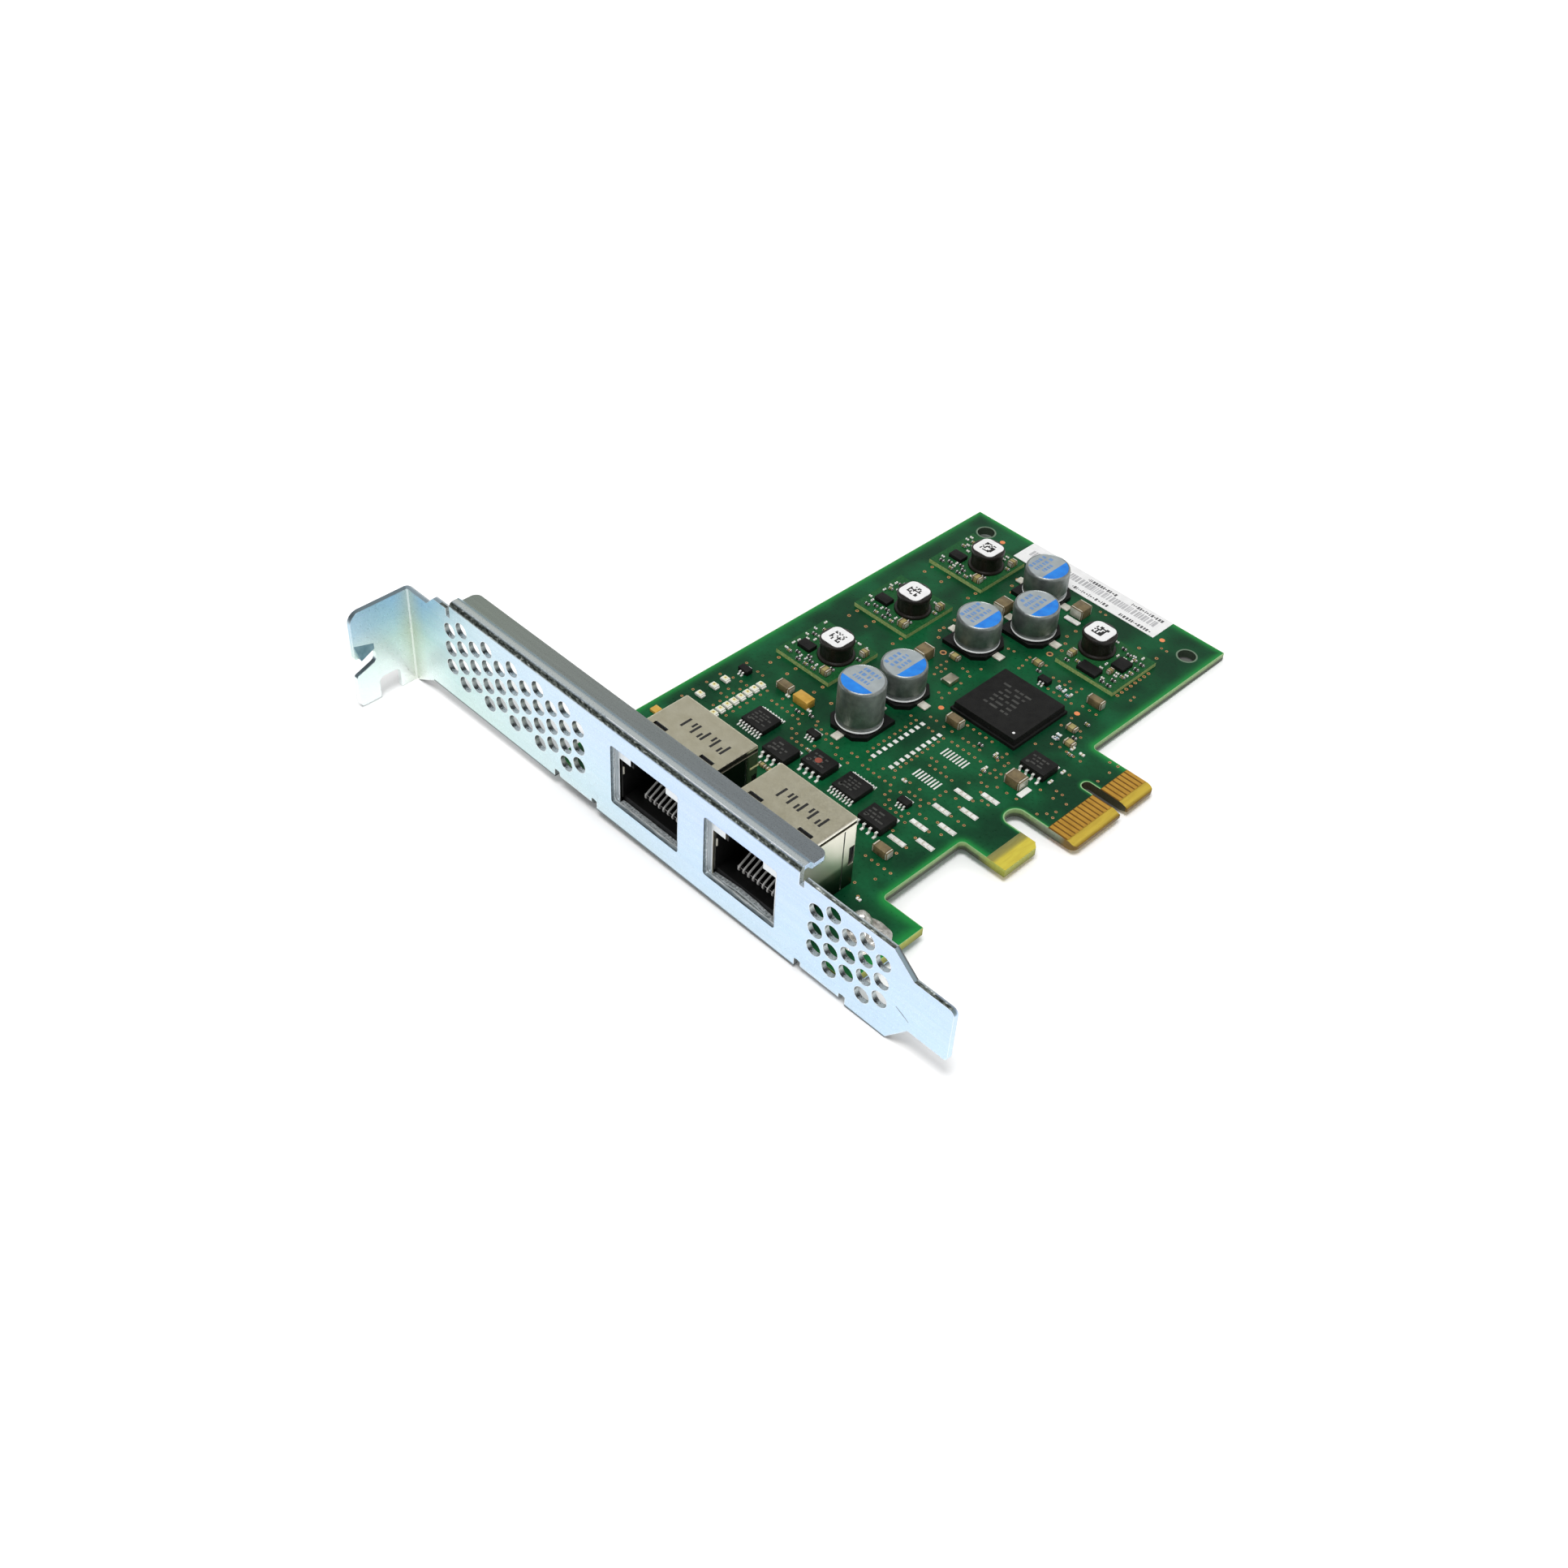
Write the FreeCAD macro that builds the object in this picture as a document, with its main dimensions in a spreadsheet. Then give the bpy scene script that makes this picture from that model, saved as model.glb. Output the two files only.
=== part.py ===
import FreeCAD, Part
import operator
import os
from types import SimpleNamespace

import Sketcher
from FreeCAD import Placement, Rotation, Vector

# Two-port serial card: a short board on a full-height bracket, lying component side up.
# Drawing frame: X runs along the bracket from the board's left edge towards the tail,
# Y runs from the bracket's outer face towards the far end of the board, Z is up from the board's top.
# The finished pieces are then moved so that the middle of the card's lowest plane is the origin.

SIZES = {
    # Circuit board
    "board_front": 1.3,
    "board_far": 104.04,
    "board_edge": 56.2,
    "board_thickness": 1.57,
    "foot_reach": 64.4,
    "foot_end": 17.15,
    "bare_tab_start": 35.1,
    "bare_tab_end": 43.3,
    "bare_tab_reach": 64.9,
    "wide_notch_root": 56.75,
    "tongue_start": 47.2,
    "tongue_end": 67.25,
    "tongue_reach": 68.9,
    "key_notch_width": 1.9,
    "key_notch_root": 60.55,
    "inner_corner": 0.9,
    "wide_notch_corner": 1.8,
    "tongue_corner": 0.9,
    "bevel_run": 1.3,
    "bevel_drop": 0.45,
    "tooling_hole": 3.2,
    # Edge contacts
    "finger_first": 47.86,
    "finger_pitch": 1.0,
    "finger_key_step": 3.0,
    "finger_width": 0.7,
    "finger_start": 63.4,
    "finger_length": 3.7,
    "finger_thickness": 0.05,
    # Bracket sheet
    "sheet": 0.86,
    "seat": 35.95,
    "bracket_length": 120.02,
    "face_drop": 3.2,
    "face_height": 18.42,
    "shoulder": 112.75,
    "shoulder_run": 4.0,
    "tail_width": 10.19,
    "tail_rise": 4.8,
    "tail_low_corner": 0.8,
    "tail_high_corner": 1.0,
    "bend_inside": 0.3,
    "bend_outside": 1.0,
    "bend_land": 0.4,
    # Screw tab of the bracket
    "tab_length": 11.43,
    "tab_drop": 5.95,
    "tab_height": 19.1,
    "tab_neck": 5.15,
    "tab_high_corner": 2.1,
    "tab_low_corner": 1.0,
    "slot_root": 7.4,
    "slot_low_root": 2.0,
    "slot_low_mouth": 0.4,
    "slot_high_root": 4.8,
    "slot_high_mouth": 3.9,
    "slot_round": 1.1,
    "slot_lip": 0.5,
    "tab_notch_near": 3.1,
    "tab_notch_width": 4.15,
    "tab_notch_height": 4.05,
    # Folded flange along the top of the bracket
    "flange_start": 24.5,
    "flange_end": 54.85,
    "flange_top": 16.8,
    "flange_step": 0.8,
    "flange_ridge": 2.0,
    "flange_depth": 5.7,
    "flange_corner": 1.3,
    "relief_width": 0.9,
    "relief_depth": 1.5,
    # Feet of the bracket under the board
    "foot_tab_first": 6.0,
    "foot_tab_step": 54.0,
    "foot_tab_width": 7.8,
    "foot_tab_depth": 14.0,
    "foot_tab_corner": 1.6,
    "foot_slit": 1.2,
    "foot_slit_top": 0.2,
    "foot_rise": 0.1,
    "rivet_line": 9.7,
    "rivet_shank": 3.0,
    "rivet_clearance": 0.1,
    "rivet_flange": 8.2,
    "rivet_flange_height": 0.45,
    "rivet_crown": 4.6,
    "rivet_crown_height": 1.0,
    "rivet_collar": 4.6,
    # Round openings in the bracket
    "hole": 2.8,
    "hole_column": 3.2,
    "hole_pitch": 3.72,
    "hole_top": 10.92,
    "hole_left": 24.87,
    "hole_inset": 5.58,
    # Sockets
    "port_first": 22.25,
    "port_step": 20.72,
    "port_width": 15.1,
    "port_height": 11.7,
    "port_bottom": 1.1,
    "port_corner": 0.5,
    "jack_front": 0.9,
    "jack_width": 16.0,
    "jack_depth": 15.2,
    "jack_height": 13.5,
    "shield": 0.3,
    "shield_corner": 0.35,
    "shield_slot_near": 3.7,
    "shield_slot_length": 2.8,
    "shield_slot_width": 0.7,
    "shield_slot_line": 7.1,
    "seam_low": 12.5,
    "seam_width": 0.55,
    "flap_line": 12.4,
    "flap_gap": 0.2,
    "window_near": 13.8,
    "window_width": 1.1,
    "window_low": 4.4,
    "window_height": 3.7,
    "socket_width": 12.3,
    "socket_bottom": 2.2,
    "socket_height": 7.7,
    "latch_width": 7.1,
    "latch_height": 2.0,
    "socket_depth": 12.6,
    "frame_edge": 0.35,
    "contact_pitch": 1.02,
    "contact_width": 0.38,
    "contact_thick": 0.3,
    "contact_near": 2.7,
    "contact_bend": 0.8,
    "contact_split": 1.3,
    "contact_far": 8.6,
    "contact_rise": 3.9,
    "lip_depth": 0.75,
    "lip_thick": 0.25,
    "lip_gap": 0.05,
    "lip_bow": 0.65,
    "joint_size": 1.1,
    "joint_height": 0.9,
    "joint_row": 8.9,
    "joint_row_step": 2.54,
    "joint_peg": 6.35,
    "joint_pitch": 1.27,
    # Plug-on regulators
    "module_along": 12.4,
    "module_across": 12.1,
    "module_thickness": 0.8,
    "coil": 6.1,
    "coil_flange": 6.6,
    "coil_flange_height": 0.5,
    "coil_top": 4.65,
    "coil_round": 0.5,
    "coil_label": 4.6,
    "coil_label_corner": 1.2,
    "coil_label_thickness": 0.1,
    # Electrolytic cans
    "can": 8.0,
    "can_tall": 9.3,
    "can_short": 6.3,
    "can_base": 8.4,
    "can_base_height": 0.8,
    "can_base_corner": 1.8,
    "can_groove": 0.35,
    "can_groove_low": 1.7,
    "can_groove_width": 0.7,
    "can_round": 0.45,
    "terminal_length": 1.8,
    "terminal_width": 1.6,
    "terminal_thickness": 0.35,
    # Chips
    "main_chip": 13.8,
    "main_chip_height": 1.8,
    "main_chip_base": 0.6,
    "main_chip_inset": 0.35,
    "wide_chip": 5.0,
    "wide_chip_across": 4.4,
    "wide_chip_top": 1.1,
    "wide_lead_pitch": 0.65,
    "wide_lead_width": 0.26,
    "square_chip": 4.9,
    "square_chip_across": 3.9,
    "square_chip_top": 1.6,
    "square_lead_pitch": 1.27,
    "square_lead_width": 0.42,
    "chip_lift": 0.12,
    "chip_draft": 5.0,
    "lead_reach": 1.05,
    "lead_foot": 0.55,
    "lead_thick": 0.17,
    # Printed label on the board
    "label_start": 13.4,
    "label_end": 45.3,
    "label_near": 98.0,
    "label_margin": 0.05,
    "label_thickness": 0.1,
    # Small parts
    "end_cap": 0.45,
    "led_length": 1.7,
    "led_width": 1.15,
    "led_height": 0.75,
    "led_line": 9.4,
    "led_first": 26.5,
    "led_step": 1.55,
    "led_side_line": 4.35,
    "small_chip": 2.2,
    "small_chip_across": 1.35,
    "small_chip_top": 1.0,
    "small_lead_pitch": 0.65,
    "small_lead_width": 0.28,
    "small_lead_reach": 0.75,
    "small_lead_foot": 0.35,
    "tiny_length": 1.0,
    "tiny_width": 0.55,
    "tiny_height": 0.4,
    "crystal_along": 2.0,
    "crystal_across": 2.5,
    "crystal_height": 0.9,
    "tantalum_along": 3.3,
    "tantalum_across": 2.0,
    "tantalum_height": 1.6,
    "amber_side": 1.5,
    "amber_height": 0.6,
}

LEFT_COLUMN_COUNT = 11
RIGHT_COLUMN_COUNT = 5
SHORT_COLUMN_HOLE_COUNT = 3
TALL_COLUMN_HOLE_COUNT = 4
FINGER_COUNT_BEFORE_KEY = 11
FINGER_COUNT_AFTER_KEY = 7
CONTACT_COUNT = 8
JOINT_SIDE_COUNT = 6
PORT_NUMBERS = (1, 2)
BENT_LIP_NUMBER = 2
WIDE_LEAD_COUNTS = (8, 8)
SQUARE_LEAD_COUNTS = (4, 4)
ROW_LED_COUNT = 8
RIVET_COUNT = 2

# Corners of the lip under a socket: share of its half width, share of its bow
STRAIGHT_LIP = ((-1.0, 0.0), (1.0, 0.0))
BENT_LIP = ((-1.0, 0.0), (-0.6, 0.45), (-0.15, 1.0), (0.35, 0.8), (0.7, 0.2), (1.0, 0.0))

# Plan positions on the board as X, Y
TOOLING_HOLES = ((5.2, 99.8), (52.3, 98.45))
MODULES = ((10.7, 51.75), (10.6, 71.15), (10.65, 90.8), (44.15, 85.95))
COILS = ((12.55, 52.05), (12.5, 71.4), (12.6, 91.0), (41.2, 87.2))
CANS = ((26.6, 43.0), (25.9, 54.1), (25.75, 73.35), (30.2, 83.3), (24.6, 93.05))
WIDE_CHIPS = ((16.1, 30.9), (37.0, 30.6))
SQUARE_CHIPS = ((23.8, 27.8), (30.0, 30.35), (44.8, 28.0), (53.75, 56.35))
MAIN_CHIP = (41.25, 63.75)
SIDE_LEDS = (28.2, 31.4, 33.95)
CRYSTAL = (29.6, 62.2)
TANTALUM = (17.2, 39.6)
AMBER_PART = (2.5, 20.1)

# Small chips as X, Y and the number of leads in the far and the near row
SMALL_CHIPS = ((24.1, 35.0, (3, 3)), (44.8, 34.3, (3, 3)), (4.9, 38.0, (1, 2)), (40.4, 74.1, (1, 2)))

# Ceramic capacitors as X, Y, length along X, length along Y, height; the longer side carries the end caps
CERAMICS = (
    (12.6, 39.9, 3.1, 1.6, 1.3),
    (22.2, 63.7, 2.4, 3.0, 2.0),
    (22.7, 84.0, 2.4, 3.0, 2.0),
    (32.6, 93.5, 2.6, 3.0, 2.0),
    (53.4, 51.1, 3.2, 2.4, 1.8),
    (37.4, 54.6, 3.1, 1.6, 1.5),
    (49.9, 76.0, 3.1, 1.4, 1.5),
    (51.2, 68.1, 2.0, 1.3, 0.8),
    (53.3, 64.9, 2.0, 1.3, 0.8),
    (49.9, 23.8, 3.1, 1.6, 1.5),
    (23.6, 23.9, 1.6, 0.8, 0.5),
    (25.4, 23.9, 1.6, 0.8, 0.5),
    (26.0, 67.5, 2.0, 1.2, 0.8),
    (36.5, 77.0, 2.0, 1.2, 0.8),
)

# Very small resistors and capacitors as X and Y
TINY_PARTS = (
    (43.7, 53.8), (47.3, 53.4), (48.1, 49.4), (43.3, 74.6), (45.4, 74.1), (51.0, 64.4), (52.9, 66.6),
    (52.2, 70.9), (55.0, 62.9), (18.0, 37.4), (20.4, 38.2), (37.9, 75.6), (26.1, 31.9),
)

# Parts on the regulators as X and Y from the regulator's middle, length along X, along Y, height
PLAIN_REGULATOR_CHIPS = ((-2.95, -1.9, 2.9, 2.0, 0.8),)
TURNED_REGULATOR_CHIPS = ((-0.1, -4.5, 4.0, 2.3, 0.8), (2.9, 0.6, 2.6, 2.9, 0.8))
PLAIN_REGULATOR_CERAMICS = ((4.0, -4.6, 1.8, 1.4, 1.1), (5.1, 3.8, 1.2, 1.6, 1.1))
TURNED_REGULATOR_CERAMICS = ((2.6, -2.2, 0.9, 1.4, 0.8), (-4.9, -3.2, 1.2, 1.8, 0.9))
PLAIN_REGULATOR_TINY = (
    (-4.2, -4.9), (-2.9, -4.1), (-1.6, -5.4), (0.2, -5.4), (0.4, -4.3), (1.9, -5.3), (-0.7, -3.5),
    (5.4, 2.1), (-4.0, 3.6), (-4.5, 1.5), (4.2, -3.1),
)
TURNED_REGULATOR_TINY = (
    (-4.4, -5.2), (-2.9, -4.1), (3.2, -5.2), (4.7, -5.3), (4.4, -3.6), (4.9, -1.7), (5.2, 0.2), (5.2, 1.7),
    (5.1, 3.4), (2.0, 3.9), (3.5, 3.5), (0.4, 4.6),
)

doc = FreeCAD.newDocument("serial_card")
sheet = doc.addObject("Spreadsheet::Sheet", "sizes")
for row, (alias, amount) in enumerate(SIZES.items(), 1):
    sheet.set("A%d" % row, alias)
    sheet.set("B%d" % row, str(amount))
    sheet.setAlias("B%d" % row, alias)
doc.recompute()


class Size:
    """A length that carries its number and the sheet expression it comes from."""

    def __init__(self, value, text):
        self.value = float(value)
        self.text = text

    def __add__(self, other):
        return joined(self, "+", other)

    def __radd__(self, other):
        return joined(other, "+", self)

    def __sub__(self, other):
        return joined(self, "-", other)

    def __rsub__(self, other):
        return joined(other, "-", self)

    def __mul__(self, other):
        return joined(self, "*", other)

    def __rmul__(self, other):
        return joined(other, "*", self)

    def __truediv__(self, other):
        return joined(self, "/", other)

    def __neg__(self):
        return joined(0, "-", self)


ARITHMETIC = {"+": operator.add, "-": operator.sub, "*": operator.mul, "/": operator.truediv}


def sized(thing):
    """The thing as a Size, plain numbers included."""
    if isinstance(thing, Size):
        return thing
    return Size(thing, "(%r)" % float(thing))


def joined(left, sign, right):
    first = sized(left)
    second = sized(right)
    value = ARITHMETIC[sign](first.value, second.value)
    return Size(value, "(%s %s %s)" % (first.text, sign, second.text))


s = SimpleNamespace(**{alias: Size(amount, "sizes." + alias) for alias, amount in SIZES.items()})

# Levels and edges that several pieces share
tab_back = -(s.seat + s.sheet)
tail_end = s.bracket_length - s.seat
face_top = s.face_height - s.face_drop
tab_top = s.tab_height - s.tab_drop
board_bottom = -s.board_thickness
foot_low = s.foot_rise - s.face_drop
port_places = (s.port_first, s.port_first + s.port_step)
card_shift = (
    -(tab_back + tail_end) / 2,
    -(s.board_far - s.tab_length) / 2,
    s.tab_drop,
)


def bind(thing, name, amount):
    """Ties a property to the sheet."""
    thing.setExpression(name, sized(amount).text)


def place(thing, x=0, y=0, z=0):
    """Puts a piece at a point of the drawing frame, moved with the whole card."""
    spot = [shift + amount for shift, amount in zip(card_shift, (x, y, z))]
    thing.Placement = Placement(Vector(*[amount.value for amount in spot]), Rotation())
    for axis, amount in zip("xyz", spot):
        bind(thing, "Placement.Base." + axis, amount)


def new_body(label):
    body = doc.addObject("PartDesign::Body", label)
    body.Label = label
    body.AllowCompound = True
    return body


LEVEL_SIGN = {"XY_Plane": 1, "XZ_Plane": -1, "YZ_Plane": 1}


def draw(body, plane, level=0):
    """An empty sketch on one of the body's origin planes, lifted along the plane's own axis."""
    support = next(item for item in body.Origin.OriginFeatures if item.Role == plane)
    sketch = body.newObject("Sketcher::SketchObject", body.Name + "_sketch")
    sketch.AttachmentSupport = [(support, "")]
    sketch.MapMode = "FlatFace"
    lift = LEVEL_SIGN[plane] * sized(level)
    sketch.AttachmentOffset = Placement(Vector(0, 0, lift.value), Rotation())
    bind(sketch, "AttachmentOffset.Base.z", lift)
    return sketch


def pin(sketch, geometry, end, point):
    """Holds one point of a sketch at its two distances from the sketch origin."""
    for kind, amount in zip(("DistanceX", "DistanceY"), point):
        length = sized(amount)
        number = sketch.addConstraint(Sketcher.Constraint(kind, geometry, end, length.value))
        sketch.setExpression("Constraints[%d]" % number, length.text)


def flat(point):
    return Vector(sized(point[0]).value, sized(point[1]).value, 0)


def outline(sketch, points):
    """A closed outline of straight lines through the points."""
    first = sketch.GeometryCount
    count = len(points)
    for index, point in enumerate(points):
        sketch.addGeometry(Part.LineSegment(flat(point), flat(points[(index + 1) % count])))
    for index, point in enumerate(points):
        following = first + (index + 1) % count
        sketch.addConstraint(Sketcher.Constraint("Coincident", first + index, 2, following, 1))
        pin(sketch, first + index, 1, point)


def rectangle(sketch, left, low, right, high):
    outline(sketch, [(left, low), (right, low), (right, high), (left, high)])


def circle(sketch, x, y, diameter):
    radius = sized(diameter) / 2
    geometry = sketch.addGeometry(Part.Circle(flat((x, y)), Vector(0, 0, 1), radius.value))
    pin(sketch, geometry, 3, (x, y))
    number = sketch.addConstraint(Sketcher.Constraint("Radius", geometry, radius.value))
    sketch.setExpression("Constraints[%d]" % number, radius.text)


def grow(body, sketch, length, draft=None):
    """Adds material from the sketch along the positive axis."""
    made = body.newObject("PartDesign::Pad", body.Name + "_pad")
    made.Profile = sketch
    made.Reversed = sketch.AttachmentSupport[0][0].Role == "XZ_Plane"
    bind(made, "Length", length)
    if draft is not None:
        bind(made, "TaperAngle", draft)
    doc.recompute()
    return made


def cut(body, sketch, length):
    """Removes material from the sketch along the positive axis."""
    made = body.newObject("PartDesign::Pocket", body.Name + "_pocket")
    made.Profile = sketch
    made.Reversed = sketch.AttachmentSupport[0][0].Role != "XZ_Plane"
    bind(made, "Length", length)
    doc.recompute()
    return made


def spin(body, sketch):
    """Turns the sketch about the body's upright axis."""
    made = body.newObject("PartDesign::Revolution", body.Name + "_turning")
    made.Profile = sketch
    made.ReferenceAxis = (sketch, ["V_Axis"])
    made.Angle = 360
    doc.recompute()
    return made


NEAR = 1e-3


def edges_at(body, axis, spots):
    """Names of the straight edges along an axis that stand at the given places of the two other axes."""
    others = [index for index in range(3) if index != "XYZ".index(axis)]
    targets = [[sized(amount).value for amount in spot] for spot in spots]
    names = []
    for number, edge in enumerate(body.Shape.Edges, 1):
        start = edge.Vertexes[0].Point
        end = edge.Vertexes[-1].Point
        if any(abs(start[index] - end[index]) > NEAR for index in others) or edge.Length < NEAR:
            continue
        place_now = [start[index] - body.Placement.Base[index] for index in others]
        if any(all(abs(a - b) < NEAR for a, b in zip(place_now, target)) for target in targets):
            names.append("Edge%d" % number)
    return names


def soften(body, kind, amount, axis, spots):
    """Rounds or bevels the edges along an axis that stand at the given places."""
    base = body.Tip
    made = body.newObject("PartDesign::" + kind, body.Name + "_edge")
    made.Base = (base, edges_at(body, axis, spots))
    bind(made, {"Fillet": "Radius", "Chamfer": "Size"}[kind], amount)
    doc.recompute()
    return made


def repeat(body, feature, axis, count, length):
    """A straight row of one feature."""
    made = body.newObject("PartDesign::LinearPattern", body.Name + "_row")
    made.Originals = [feature]
    support = next(item for item in body.Origin.OriginFeatures if item.Role == axis + "_Axis")
    made.Direction = (support, [""])
    made.Occurrences = count
    bind(made, "Length", length)
    body.Tip = made
    doc.recompute()
    return made


NODES = []


def keep(thing):
    NODES.append(thing)
    return thing


def block(name, x, y, z, along, across, height):
    """A box standing on the level z, centred on x and y."""
    box = doc.addObject("Part::Box", name)
    bind(box, "Length", along)
    bind(box, "Width", across)
    bind(box, "Height", height)
    place(box, x - sized(along) / 2, y - sized(across) / 2, z)
    return box


def group(label, members):
    """Separate solids that share one node."""
    made = doc.addObject("Part::Compound", label)
    made.Label = label
    made.Links = members
    return keep(made)


def make_board():
    body = new_body("circuit_board")
    sketch = draw(body, "XY_Plane", board_bottom)
    key_near = s.finger_first + (FINGER_COUNT_BEFORE_KEY - 1) * s.finger_pitch + s.finger_key_step / 2 \
        - s.key_notch_width / 2
    key_far = key_near + s.key_notch_width
    outline(sketch, [
        (0, s.board_front), (s.foot_reach, s.board_front), (s.foot_reach, s.foot_end),
        (s.board_edge, s.foot_end), (s.board_edge, s.bare_tab_start),
        (s.bare_tab_reach, s.bare_tab_start), (s.bare_tab_reach, s.bare_tab_end),
        (s.wide_notch_root, s.bare_tab_end), (s.wide_notch_root, s.tongue_start),
        (s.tongue_reach, s.tongue_start), (s.tongue_reach, key_near), (s.key_notch_root, key_near),
        (s.key_notch_root, key_far), (s.tongue_reach, key_far), (s.tongue_reach, s.tongue_end),
        (s.board_edge, s.tongue_end), (s.board_edge, s.board_far), (0, s.board_far),
    ])
    grow(body, sketch, s.board_thickness)
    soften(body, "Fillet", s.inner_corner, "Z", [
        (s.board_edge, s.foot_end), (s.board_edge, s.bare_tab_start), (s.key_notch_root, key_near),
        (s.key_notch_root, key_far), (s.board_edge, s.tongue_end),
    ])
    soften(body, "Fillet", s.wide_notch_corner, "Z", [
        (s.wide_notch_root, s.bare_tab_end), (s.wide_notch_root, s.tongue_start),
    ])
    soften(body, "Fillet", s.tongue_corner, "Z", [
        (s.tongue_reach, s.tongue_start), (s.tongue_reach, s.tongue_end),
    ])
    soften(body, "Chamfer", s.tongue_corner, "Z", [(s.bare_tab_reach, s.bare_tab_end)])
    bevel = draw(body, "XZ_Plane", s.tongue_start)
    bevel_start = s.tongue_reach - s.bevel_run
    outline(bevel, [(bevel_start, 0), (s.tongue_reach, 0), (s.tongue_reach, -s.bevel_drop)])
    outline(bevel, [
        (bevel_start, board_bottom), (s.tongue_reach, board_bottom),
        (s.tongue_reach, board_bottom + s.bevel_drop),
    ])
    cut(body, bevel, s.tongue_end - s.tongue_start)
    holes = draw(body, "XY_Plane", board_bottom)
    for x, y in TOOLING_HOLES:
        circle(holes, x, y, s.tooling_hole)
    for number in range(RIVET_COUNT):
        circle(holes, s.foot_tab_first + number * s.foot_tab_step, s.rivet_line,
               s.rivet_shank + s.rivet_clearance)
    cut(body, holes, s.board_thickness)
    place(body)
    keep(body)


def make_fingers():
    spots = [number * s.finger_pitch for number in range(FINGER_COUNT_BEFORE_KEY)]
    key_step = (FINGER_COUNT_BEFORE_KEY - 1) * s.finger_pitch + s.finger_key_step
    spots += [key_step + number * s.finger_pitch for number in range(FINGER_COUNT_AFTER_KEY)]
    middle = s.finger_start + s.finger_length / 2
    lower_side = board_bottom - s.finger_thickness
    for label, level in (("edge_contacts_top", 0), ("edge_contacts_bottom", lower_side)):
        group(label, [
            block("finger", middle, s.finger_first + spot, level, s.finger_length, s.finger_width,
                  s.finger_thickness)
            for spot in spots
        ])


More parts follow.
